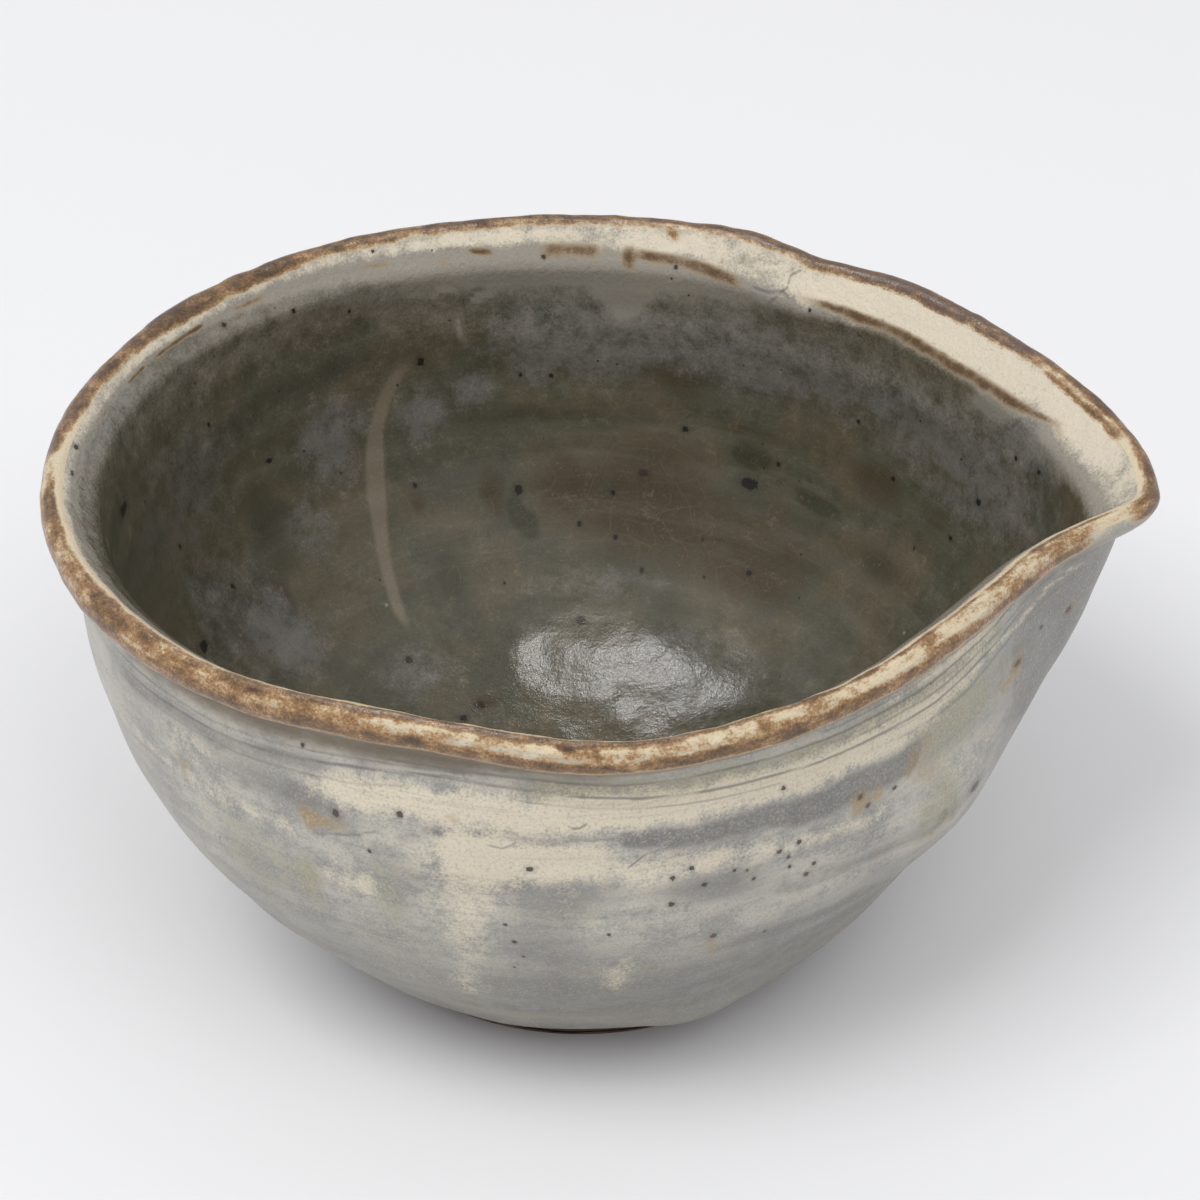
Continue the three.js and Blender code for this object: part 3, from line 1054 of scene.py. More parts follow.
PAINT = PaintBook(
    outside=(
        # Cream, smoke and moss swept round the front
        Run(CREAM, ((-120, 18.4), (-104, 16.8), (-88, 16.2), (-76, 16.8), (-60, 18.0), (-44, 18.6),
                    (-36, 18)), 2.4, 2.0, 1.2),
        Run(CREAM, ((-102, 23.6), (-92, 24.0), (-82, 24.6)), 4.0, 2.8, 1.0, 0.1),
        Run(CREAM, ((-84, 26.6), (-72, 27.2), (-60, 28.4), (-46, 29.8)), 2.2, 1.5, 0.65),
        Run(CREAM, ((-50, 11.6), (-36, 12.2), (-22, 11.0), (-12, 8.6)), 0.8, 0.8, 0.9),
        Run(CREAM, ((-44, 16.9), (-30, 16.8), (-18, 14.4), (-10, 11.0)), 0.8, 0.6, 0.8),
        Run(CREAM, ((-97, 20), (-99.5, 31), (-102, 45), (-104.5, 62)), 5.6, 2.0, 0.6),
        Run(CREAM, ((-150, 26), (-134, 27), (-118, 26.5)), 1.4, 1.8, 0.6),
        Run(SMOKE, ((-108, 23.4), (-98, 20.4), (-94, 19.8), (-87, 20.2), (-80, 20.8),
                    (-75, 21.6)), 0.5, 0.9, 0.9, 0.05),
        Run(SMOKE, ((-82, 20.8), (-70, 21.8), (-60, 22.8), (-52, 23.0), (-42, 23.4)), 1.6, 2.2, 2.0, 0.03),
        Patch(SMOKE, -101.3, 20.9, 3.4, 0.6, 1.2),
        Patch(SMOKE, -97.5, 20.3, 5.0, 0.7, 0.9),
        Run(SMOKE, ((-150, 16), (-130, 16.4), (-112, 15.2)), 2.2, 1.6, 0.85),
        Run(MOSS, ((-96, 12.4), (-60, 14.8), (-40, 15), (-22, 12.8)), 2.8, 2.8, 1.1),
        Run(CREAM, ((-90, 13.6), (-60, 15.4), (-40, 15.2), (-24, 13.2)), 2.0, 1.6, 0.75),
        Patch(CREAM, -90, 27, 28, 14, 0.3),
        Patch(CREAM, -88, 23.6, 5, 2.2, 0.4),
        Patch(CREAM, -113.5, 33, 5, 3.4, 0.7),
        Patch(CREAM, -83, 50, 4, 6, 0.55),
        Patch(CREAM, -134, 21, 8, 3, 0.5),
        Patch(CREAM, -39, 29.5, 6, 3, 0.45),
        Patch(CREAM, -30, 31.5, 7, 3, 0.4),
        Patch(SMOKE, -89, 30.5, 9, 5.0, 0.8),
        Patch(SMOKE, -94, 27.5, 2.6, 2.2, 0.7),
        Patch(SMOKE, -72, 32.0, 9, 3.4, 0.9, 0.1),
        Patch(SMOKE, -59, 36.5, 12, 2.2, 0.7, 0.05),
        Patch(SMOKE, -93, 42, 8, 8, 0.6),
        Patch(SMOKE, -58, 47.5, 18, 2.0, 0.75, 0.06),
        Patch(SMOKE, -42, 36.5, 14, 2.0, 0.6),
        Patch(SMOKE, -124, 20.5, 13, 2.6, 0.7),
        Patch(SMOKE, -116, 21.5, 6, 2.4, 0.6),
        Patch(SMOKE, -140, 50, 18, 5, 0.5),
        Patch(SMOKE, -100, 66, 20, 3.0, 0.5),
        Patch(SMOKE, -78, 60, 34, 13, 0.85),
        Patch(SMOKE, -40, 52, 26, 12, 0.6),
        Patch(MOSS, -92, 68, 34, 9, 0.7),
        # Painted shade: two wide dark grey patches on the overhanging underside of the beak
        Patch(SMOKE, -12, 24, 18, 18, 1.3),
        Patch(SMOKE, 4, 36, 18, 20, 1.1),
        Patch(MOSS, -127, 35, 9, 8, 0.6),
        Patch(MOSS, -120, 37, 3, 6, 0.7),
        Patch(MOSS, -109.5, 34, 3.2, 7, 0.8),
        Patch(MOSS, -101, 46, 4, 10, 0.5),
        Patch(MOSS, -40, 34, 4.5, 8, 0.9),
        Patch(MOSS, -36, 21.5, 13, 5.0, 1.2),
        Patch(MOSS, -20, 20.5, 6, 4.0, 0.8),
        Patch(MOSS, -85, 50, 9, 10, 0.6),
        Patch(MOSS, -10, 66, 10, 5, 0.9),
        Patch(MOSS, -98, 27, 5, 3, 0.5),
        # The same sweep carried on round the back
        Run(CREAM, ((10, 19), (45, 17.5), (80, 20), (115, 18), (150, 20.5), (200, 19)), 2.0, 2.6, 0.9),
        Run(SMOKE, ((15, 24), (50, 22.5), (85, 25.5), (120, 23), (160, 25), (195, 23)), 1.6, 2.0, 0.9),
        Run(CREAM, ((62, 20), (66, 34), (70, 50), (71, 66)), 4.0, 1.2, 0.8),
        Run(CREAM, ((138, 21), (141, 38), (146, 52)), 5.0, 1.6, 0.8),
        Run(MOSS, ((100, 30), (104, 46), (103, 62)), 6.0, 3.0, 0.8),
        Patch(SMOKE, 40, 38, 16, 4.5, 0.8),
        Patch(SMOKE, 120, 42, 18, 5, 0.7),
        Patch(SMOKE, 175, 36, 16, 4, 0.8),
        Patch(MOSS, 20, 42, 10, 8, 0.8),
        Patch(MOSS, 165, 48, 10, 10, 0.7),
        Patch(CREAM, 92, 30, 8, 3, 0.7),
        Patch(RUST, 34, 30, 2.6, 1.8, 0.9),
        Patch(RUST, 87, 41, 1.4, 2.8, 0.8),
        Patch(RUST, 128, 29, 3.2, 2.2, 0.9),
        Patch(RUST, 158, 61, 2.2, 1.6, 0.8),
        Patch(RUST, 12, 52, 1.8, 1.4, 0.8),
        # Ochre and rust in front
        Patch(RUST, -115.8, 23.2, 4.4, 1.9, 1.0),
        Patch(RUST, -117.6, 24.6, 1.2, 1.6, 0.8),
        Patch(RUST, -108, 28, 4, 3, 0.45),
        Patch(RUST, -137.4, 26.4, 0.9, 2.4, 0.8, 0.5),
        Patch(RUST, -136.2, 24.2, 1.8, 0.6, 0.8),
        Patch(RUST, -141.5, 26, 1.0, 1.3, 0.5),
        Patch(RUST, -148, 26.5, 2.0, 1.6, 0.5, 0.5),
        Patch(RUST, -99.9, 18.4, 0.8, 1.0, 0.7),
        Patch(RUST, -71.3, 45.6, 1.1, 3.2, 0.8),
        Patch(RUST, -52.6, 25.8, 1.4, 2.0, 1.0),
        Patch(RUST, -50.2, 26.3, 2.0, 1.3, 0.9),
        Patch(RUST, -42.5, 24, 4.2, 4.4, 0.6),
        Patch(RUST, -40.5, 31, 2.6, 5.5, 0.4),
        Patch(RUST, -22.5, 23.0, 3.4, 2.2, 1.3, -0.3),
        Patch(RUST, -27, 23.6, 3.4, 1.0, 0.6),
        Patch(RUST, -11, 20.6, 2.0, 1.2, 0.9),
        Patch(RUST, -59, 35, 0.9, 1.0, 0.9),
        Patch(RUST, -31.2, 36.8, 2.2, 1.0, 0.8, 0.4),
    ),
    inside=(
        # The milky zone under the crease, and the runs that leave it
        Run(MILK, ((79, -8), (80.2, -13), (80.4, -18.5)), 5.6, 2.2, 1.0, 0.2),
        Patch(MILK, 66, -10.2, 8, 1.6, 0.6),
        Patch(MILK, 95, -10.5, 14, 2.0, 0.6),
        Patch(MILK, 18.6, -10.2, 5.0, 1.7, 1.0, -0.12),
        Patch(MILK, 7, -10.6, 6, 2.6, 0.7),
        Patch(MILK, 101.2, -14.1, 1.9, 0.6, 1.0, -0.35),
        Patch(MILK, 106.3, -11.7, 1.5, 0.5, 0.9, 0.4),
        Run(DRIP, ((110.8, -23.4), (112.3, -23.8), (114.2, -25.3), (116.6, -28.4), (119.3, -33.8),
                   (121.1, -40.1), (122.6, -46.5), (124.8, -54.4), (126.6, -61.0),
                   (127.9, -68.5)), 1.2, 1.6, 1.0, 0.14),
        Run(DRIP, ((118.6, -32), (121.0, -40), (122.4, -46), (124.2, -52)), 2.1, 1.8, 0.8, 0.4),
        Run(MILK, ((103.9, -17), (104.2, -22)), 0.6, 0.5, 0.45),
        Patch(MILK, 118.5, -25, 4.2, 3.4, 0.4),
        # Blue-grey clouds
        Patch(SMOKE, 60, -20, 26, 8, 0.95),
        Patch(SMOKE, 88, -22, 18, 9, 1.0),
        Patch(SMOKE, 112, -33, 6, 5, 1.0),
        Patch(SMOKE, 103, -31, 4, 4, 0.8),
        Patch(SMOKE, 127, -33, 8, 8, 1.0),
        Patch(SMOKE, 135, -45, 6, 6, 0.7),
        Patch(SMOKE, 151, -58, 9, 7, 1.0),
        Patch(SMOKE, 22, -22, 26, 10, 0.95),
        Patch(SMOKE, 10, -12, 8, 3, 0.9),
        Patch(SMOKE, 133, -74, 14, 5, 0.7),
        Patch(SMOKE, 85, -64, 20, 4, 0.6),
        Patch(SMOKE, 170, -6, 24, 2.2, 0.9),
        Patch(SMOKE, 106, -6, 8, 3.0, 0.7),
        Patch(SMOKE, 60, -80, 40, 12, 0.6),
        # Brown and ochre clouds
        Patch(RUST, 124, -14, 13, 4.5, 0.95),
        Patch(RUST, 129, -26, 4, 2.5, 0.6),
        Patch(RUST, 71.5, -27.5, 9, 4.2, 0.8),
        Patch(RUST, 54, -54, 16, 10, 1.0),
        Patch(RUST, 77, -50, 18, 11, 1.1),
        Patch(RUST, 92, -47, 6, 6, 0.7),
        Patch(RUST, 102.3, -48.2, 3.4, 5.4, 1.0, 0.3),
        Patch(RUST, 115.8, -47, 2.2, 3, 0.8),
        Patch(RUST, 146.4, -51.6, 3, 3, 0.9),
        Patch(RUST, 159.8, -51, 3, 5, 0.8),
        Patch(RUST, 146, -26, 16, 6, 0.3),
        Patch(RUST, 38, -34, 8, 4, 0.8),
        Patch(RUST, 26, -35, 4, 2.5, 0.7),
        Patch(RUST, 120, -83.5, 9, 1.6, 0.9),
        Patch(RUST, 61, -34.5, 9, 1.4, 0.7),
        Patch(RUST, 178, -42, 10, 6, 0.5),
        # Bottle-green pools, and two wide grey clouds away from the beak, which are painted light that
        # makes that side of the inside wall lighter
        Patch(MOSS, 97.6, -52.8, 3.6, 3.0, 1.5, 0.1),
        Patch(MOSS, 98.6, -49.5, 1.8, 2.0, 1.0),
        Patch(MOSS, 60, -38.4, 4.0, 2.2, 1.5),
        Patch(MOSS, 47.4, -42, 6.2, 1.5, 1.5, 0.06),
        Patch(MOSS, 90, -36, 26, 2.4, 0.9),
        Patch(MOSS, 114, -60, 6, 7, 0.8),
        Patch(MOSS, 83, -47, 4, 3, 0.6),
        Patch(MOSS, 70, -66, 12, 3, 0.7),
        Patch(MOSS, 165, -30, 22, 12, 0.35),
        Patch(SMOKE, 158, -24, 24, 12, 0.55),
        Patch(SMOKE, 160, -48, 18, 14, 0.55),
        Patch(MOSS, 33, -46, 7, 3.5, 0.8),
        Patch(MOSS, 142, -40, 6, 9, 0.7),
    ),
    lip=(
        # Iron all round the lip, and its breaks
        Band(IRON, ((-14, -0.2, 3.6), (-4, -0.8, 4.2), (4, -0.6, 4.4), (12, -0.9, 4.6), (18, -1.6, 4.8),
                    (24, -2.4, 5.0), (45, -2.3, 5.0), (55, -1.7, 5.0), (90, -1.7, 5.0), (125, -2.2, 5.0),
                    (133, -2.9, 5.0), (146, -2.9, 5.0), (155, -1.9, 5.0), (170, -1.2, 4.8),
                    (186, 0.2, 4.0)), 0.74, 1.0, 8),
        Band(IRON, ((1, -2.1, -0.4), (10, -2.3, -0.9), (18, -2.4, -1.0)), 0.62, 0.5, 3),
        Band(IRON, ((184, -0.4, 1.8), (200, -0.2, 2.0), (215, -0.6, 2.2), (247, -0.5, 1.5)), 0.62, 0.5),
        Band(IRON, ((236, -0.5, 1.4), (256, -0.4, 1.4), (270, -0.4, 1.3), (285, -0.4, 1.2),
                    (302, -0.4, 0.7), (320, -0.5, 0.2), (352, -0.4, 0.3)), 0.72, 0.45),
        Band(IRON, ((180, -0.4, 4.6), (215, -0.4, 4.8), (240, -0.4, 4.6), (262, 0, 4.2),
                    (350, 0.1, 4.2)), 0.34, 0.6),
        Band(IRON, ((182, -0.4, 4.6), (215, -0.4, 4.8), (240, -0.4, 4.6), (262, 0, 4.2)), 0.56, 0.6, 14),
        Band(IRON, ((316, 0.0, 4.2), (335, -0.4, 4.4), (354, -0.6, 4.6)), 0.42, 0.6, 12),
        Band(IRON, ((180, 3.0, 4.6), (205, 3.2, 4.9), (217, 2.9, 5.2), (229, 2.5, 5.4), (246, 2.8, 5.2),
                    (270, 3.1, 5.1), (288, 2.9, 5.0), (305, 2.5, 4.8), (320, 2.6, 4.6),
                    (349, 2.9, 4.4)), 0.7, 0.6),
        # Under the roll of the lip: a soft brown band, partly iron brown and partly painted shade in the
        # hollow of the neck
        Band(UNDERLIP_UMBER_AND_SHADE, ((180, 3.8, 9.0), (205, 3.8, 11.4), (225, 3.6, 12.9), (245, 3.8, 12.6),
                     (258, 3.9, 11.6), (275, 3.9, 10.4), (295, 3.6, 9.4), (320, 3.4, 8.0),
                     (350, 3.6, 6.4)), 0.95, 1.6),
        Patch(IRON, -62, 2.7, 4.6, 0.6, 0.5),
        Patch(IRON, -41, 2.5, 7.0, 0.6, 0.55),
        Patch(IRON, -27, 2.7, 4.6, 0.6, 0.55),
        Patch(IRON, 73, -2.6, 1.2, 1.4, 0.6),
        Patch(IRON, -87, 1.2, 1.3, 0.9, 1.0),
        Patch(IRON, -84, 2.0, 0.7, 1.4, 0.7),
        Patch(IRON, -69.7, 2.0, 0.6, 1.5, 0.75),
        Patch(IRON, -66, 1.8, 0.8, 1.4, 0.7),
        Patch(IRON, -152.5, 1.8, 2.2, 1.0, 0.8),
        Patch(IRON, -148, 1.5, 1.5, 0.8, 0.8),
        Patch(IRON, -138, 1.0, 4.0, 0.9, 0.75),
        Patch(IRON, -124, 1.4, 7.0, 1.1, 0.8),
        Patch(IRON, -6, 3.2, 3.0, 2.0, 1.0),
        Patch(PLUM, 34, 0.5, 22, 5, 1.0),
        Patch(PLUM, -6, 3.2, 4.0, 2.6, 1.2),
        # The pale flange, and the shore where it meets the dark pool
        Band(MILK, ((0, -9.4, 0.4), (5, -9.8, 0.4), (12, -8.8, 0.4), (22, -9.4, 0.4), (45, -9.3, 0.4),
                    (56, -10, 0.4), (62, -11.6, 0.4), (76, -12.4, 0.4), (84, -12.4, 0.4),
                    (98, -11.6, 0.4), (110, -10.4, 0.4), (120, -8.8, 0.4), (130, -7.6, 0.4),
                    (150, -6.4, 0.4), (170, -6.0, 0.4), (190, -5.6, 0.4), (270, -5.8, 0.4),
                    (340, -6.8, 0.4), (360, -9.4, 0.4)), 1.2, 1.9),
        Band(MILK, ((52, -13, -8), (64, -16, -8), (90, -17, -8), (112, -14, -6), (140, -11, -5),
                    (200, -9, -4)), 0.74, 4.0),
        Band(MILK, ((6, -18, -8), (30, -19, -8), (64, -23, -8), (90, -25, -8), (112, -20, -6),
                    (150, -16, -5), (205, -12, -4)), 0.56, 6.0),
        Band(CREAM, ((0, -7.0, 1), (8, -6.2, 1), (14, -7.2, 1), (30, -7.9, 1), (45, -7.4, 1),
                     (54, -6.6, 1), (62, -7.6, 1), (80, -6.2, 1), (97, -5.4, 1), (106, -4.4, 1),
                     (112, -4.8, 1), (130, -4.0, 1), (146, -4.9, 1), (165, -4.2, 1), (182, -3.2, 2.4),
                     (200, -1.8, 4.0), (220, -1.0, 4.2), (300, -0.6, 4.0), (345, -3, 3.6),
                     (360, -7.0, 1)), 0.74, 1.4),
        Patch(CREAM, 8, -4.0, 16, 3.4, 1.4),
        Patch(CREAM, 34, -4.6, 38, 3.7, 1.55),
        Patch(CREAM, 72, -4.0, 16, 2.6, 1.2),
        Patch(CREAM, 100, -3.4, 24, 1.8, 1.1),
        Patch(CREAM, 150, -2.8, 22, 1.8, 0.95),
        Patch(CREAM, 196, -1.2, 26, 1.4, 0.9),
        # The crease line
        Band(OCHRE, ((6, -8.0, -7.0), (9.5, -6.9, -5.9), (12.5, -7.8, -6.8), (16, -8.7, -7.3),
                     (35, -9.0, -7.4), (42.5, -8.6, -7.1), (48, -8.0, -6.7),
                     (54, -7.1, -6.2)), 1.15, 0.7, 6),
        Band(OCHRE, ((60, -9.0, -7.8), (64, -8.7, -7.0), (70, -8.1, -6.2), (76, -7.4, -5.6),
                     (80, -7.2, -5.2)), 1.05, 0.7, 4),
        Patch(OCHRE, 78.8, -7.0, 1.3, 2.0, 1.1),
        Band(OCHRE, ((81.5, -7.8, -5.2), (87, -7.6, -5.2), (93, -8.2, -5.4)), 0.95, 1.1, 3),
        Band(OCHRE, ((97.4, -7.2, -5.6), (102.6, -6.6, -5.4)), 1.15, 0.7, 1.8),
        Patch(OCHRE, 105.5, -7.2, 2.2, 1.0, 0.5),
        Band(OCHRE, ((112, -6.8, -5.8), (119, -6.6, -5.6)), 0.55, 0.6, 2),
        Band(OCHRE, ((132, -6.2, -5.0), (139, -6.0, -5.0)), 0.9, 0.6, 2),
        Band(OCHRE, ((142.5, -6.0, -4.7), (147, -6.0, -4.8), (155, -6.2, -5.3)), 1.2, 0.5, 2),
        Band(OCHRE, ((155, -6.1, -5.0), (162, -6.0, -5.0)), 1.2, 0.5, 2),
        Band(OCHRE, ((166, -5.6, -4.6), (171, -5.4, -4.6)), 0.8, 0.5, 1.6),
        Patch(SMOKE, 55.4, -5.0, 2.4, 2.4, 0.8),
        Patch(SMOKE, 57.4, -8.6, 4.0, 1.8, 0.9),
        Patch(SMOKE, 111, -6.0, 4.0, 2.6, 0.7),
        Patch(SMOKE, 9, -8.4, 4.6, 2.4, 0.9),
    ),
    lines=(
        (
            Line(MAIN_GROOVE, 0.2, 1.0),
            Line(((20, 16), (90, 14.5), (170, 15.5), (205, 15.4)), 0.2, 1.0),
            Line(((-118, 26.3), (-112.5, 24.4), (-109, 22.6)), 0.2, 0.8),
            Line(((-81.4, 26.2), (-79.3, 23.6), (-77, 23.1), (-75.6, 22.2)), 0.13, 1.0),
            Line(((-96.6, 21.9), (-94.8, 22.3), (-93.2, 20.9)), 0.16, 0.7),
            Line(((53.6, -2.4), (55.2, -4.4), (55.0, -6.4), (56.4, -8.6), (57.6, -9.6)), 0.2, 0.7),
            Line(((13.6, -8.6), (15.2, -11.0), (16.6, -12.8), (16.2, -15.2)), 0.24, 0.6),
        ),
        (
            Line(UPPER_GROOVE, 0.18, 0.9),
            Line(LEFT_GROOVE, 0.18, 0.5),
            Line(((15, 13), (80, 12.2), (150, 13), (200, 13)), 0.18, 0.8),
            Line(((-87.4, 17.9), (-86.6, 18.6), (-85.4, 17.6)), 0.16, 1.0),
            Line(((53.8, -8.0), (55.4, -7.2), (57.8, -8.2), (60.4, -8.2)), 0.2, 0.7),
        ),
        (
            Line(((-150, 13.4), (-128, 13.9), (-114, 12.8), (-96, 11.7)), 0.16, 0.8),
            Line(((-94, 14.3), (-78, 15.7), (-62, 17.6)), 0.14, 0.6),
            Line(((-58, 11.7), (-44, 11.9), (-30, 11.2)), 0.14, 0.6),
        ),
        (
            Line(((-64, 9.4), (-44, 9.8), (-28, 9.2), (-14, 7.4)), 0.18, 0.6),
            Line(((-54, 14.9), (-38, 14.9), (-25, 13.9), (-13, 10.8)), 0.2, 0.8),
            Line(((-48, 18.6), (-34, 18.8), (-21, 16.2), (-11, 13.6)), 0.24, 0.6),
        ),
    ),
    outside_specks=specks_at(
        (-76.3, 28.9, 0.45), (-72.6, 31.5, 0.42), (-76.5, 34.2, 0.55), (-74.0, 27.8, 0.38),
        (-69.0, 29.9, 0.32), (-67.4, 30.7, 0.3), (-66.4, 33.0, 0.36), (-63.4, 29.0, 0.42, 0.4),
        (-62.1, 30.8, 0.36, 0.4), (-60.8, 28.5, 0.4), (-61.7, 33.1, 0.36), (-58.4, 34.0, 0.42),
        (-95.9, 37.0, 0.3), (-95.2, 40.6, 0.36), (-94.5, 44.5, 0.28), (-96.0, 48.0, 0.28),
        (-71.2, 43.0, 0.62, 0.3), (-59.4, 35.6, 0.42, 0.8), (-31.7, 36.4, 0.8, 0.6, 1.7),
        (-8.7, 58.0, 1.1, 0.6, 1.6), (-62.7, 18.5, 0.42, 0.2), (-106.2, 19.1, 0.5, 0.1),
        (-114.1, 21.6, 0.62, 0.3), (-92.2, 25.6, 0.42, 0.0, 1.3), (-110.5, 26.4, 0.34),
        (-47.2, 26.5, 0.42), (-52.5, 25.0, 0.5, 0.9), (-51.2, 27.2, 0.4, 0.9),
        (-11.5, 20.8, 0.6, 0.7), (-22.0, 22.4, 0.6, 0.8, 1.8), (-16.8, 20.0, 0.4),
        (-117.8, 12.6, 0.34), (-84.0, 39.0, 0.26), (-64.0, 46.0, 0.3), (38, 31, 0.7, 0.5),
        (87, 39, 0.6, 0.4), (127, 30, 0.7, 0.5), (66, 44, 0.4), (110, 36, 0.5), (148, 33, 0.45),
        (160, 44, 0.5, 0.3), (24, 46, 0.4), (96, 57, 0.5),
    ),
    inside_specks=specks_at(
        (110.6, -24.0, 0.7), (98.4, -47.7, 0.85), (60.0, -43.0, 0.95, 0.0, 2.2), (82.6, -48.3, 0.5),
        (77.6, -44.7, 0.55, 0.5, 1.8), (71.2, -36.4, 0.5, 0.0, 1.6), (55.8, -57.1, 0.5, 0.0, 1.5),
        (174.6, -17.6, 0.9, 0.0, 2.2), (168.7, -47.2, 0.9, 0.0, 1.8), (131.9, -71.1, 0.7, 0.5, 1.8),
        (123.0, -83.8, 0.8, 0.5, 2.2), (131.0, -84.8, 0.7, 0.0, 2.8), (115.2, -44.3, 0.42),
        (18.5, -26.4, 0.6, 0.0, 1.2), (88.5, -53.8, 0.45), (82.0, -55.8, 0.45),
        (55.5, -38.3, 0.45, 0.4), (91.5, -28.8, 0.36), (129.4, -9.3, 0.42), (13.4, -15.1, 0.5),
        (76.5, -61.0, 0.45, 0.6), (154.8, -45.0, 0.42), (138.3, -31.5, 0.4, 0.0, 2.0),
        (91.0, -7.5, 0.36), (50.5, -8.6, 0.3), (178.6, -2.5, 0.4, 0.0, 1.4),
        (184.0, -3.0, 0.42, 0.0, 1.5), (88.6, -70.6, 0.9, 0.5, 1.6), (35.5, -32.4, 0.4),
        (148.0, -20.0, 0.34), (140.7, -7.3, 0.4), (115.0, -3.1, 0.4), (8.6, -13.8, 0.3),
        (21.8, -34.8, 0.36), (27.8, -40.2, 0.34, 0.4), (72.0, -7.9, 0.3), (96.0, -28.5, 0.34),
        (66.0, -54.0, 0.3, 0.5), (104.0, -63.0, 0.3), (162.0, -33.0, 0.36), (120.5, -12.5, 0.3),
        (43.0, -26.0, 0.34), (64.0, -60.0, 0.3, 0.6),
    ),
)


def settle(made: Spun) -> None:
    """Moves a spun mesh to the hand-worked shape in the frame, and stores its places and paint.

    Args:
        made: The spun mesh.
    """
    work = HandWork()
    angle, along = made.angle, made.along
    points = made.rows.points[made.row]
    x, y = (points[:, 0] * way(np.radians(angle)) for way in (np.cos, np.sin))
    spots = np.stack([x, y, points[:, 1]], axis=1)
    points = points + made.rows.out[made.row] * work.height(spots, angle, along)[:, None]
    points = points + work.shift(angle, along)
    places = SHAPE.worked(angle, points[:, 0], points[:, 1])
    mesh = made.piece.data
    Bench.move(mesh, places * MM + foot_middle())
    Bench.paint(mesh, "along", along)
    Bench.paint(mesh, "wheel", wheel_place(angle, along) * MM)
    body = 0.25 + 0.75 * ease(np.abs(along), 5, 16)
    wander = sum(lumps.at(spots) for lumps in PAINT.wander_round)
    bent_angle = angle + np.degrees(body * wander / SHAPE.rim_radius)
    bent_along = along + body * sum(lumps.at(spots) for lumps in PAINT.wander_along)
    bent_along = np.where(bent_along * along > 0, bent_along, along)
    for tone in Tone:
        at = (angle, along) if tone is Tone.DRIP else (bent_angle, bent_along)
        Bench.paint(mesh, tone.value, PAINT.tone(tone, *at))
    for layer in range(len(PAINT.lines)):
        offset, share = PAINT.line(layer, angle, along)
        Bench.paint(mesh, f"line_{layer}", offset)
        Bench.paint(mesh, f"line_share_{layer}", share)
    for layer, specks in enumerate(PAINT.layers()):
        way, rust = PAINT.speck(specks, angle, along)
        Bench.paint(mesh, f"speck_{layer}", way)
        Bench.paint(mesh, f"speck_rust_{layer}", rust)


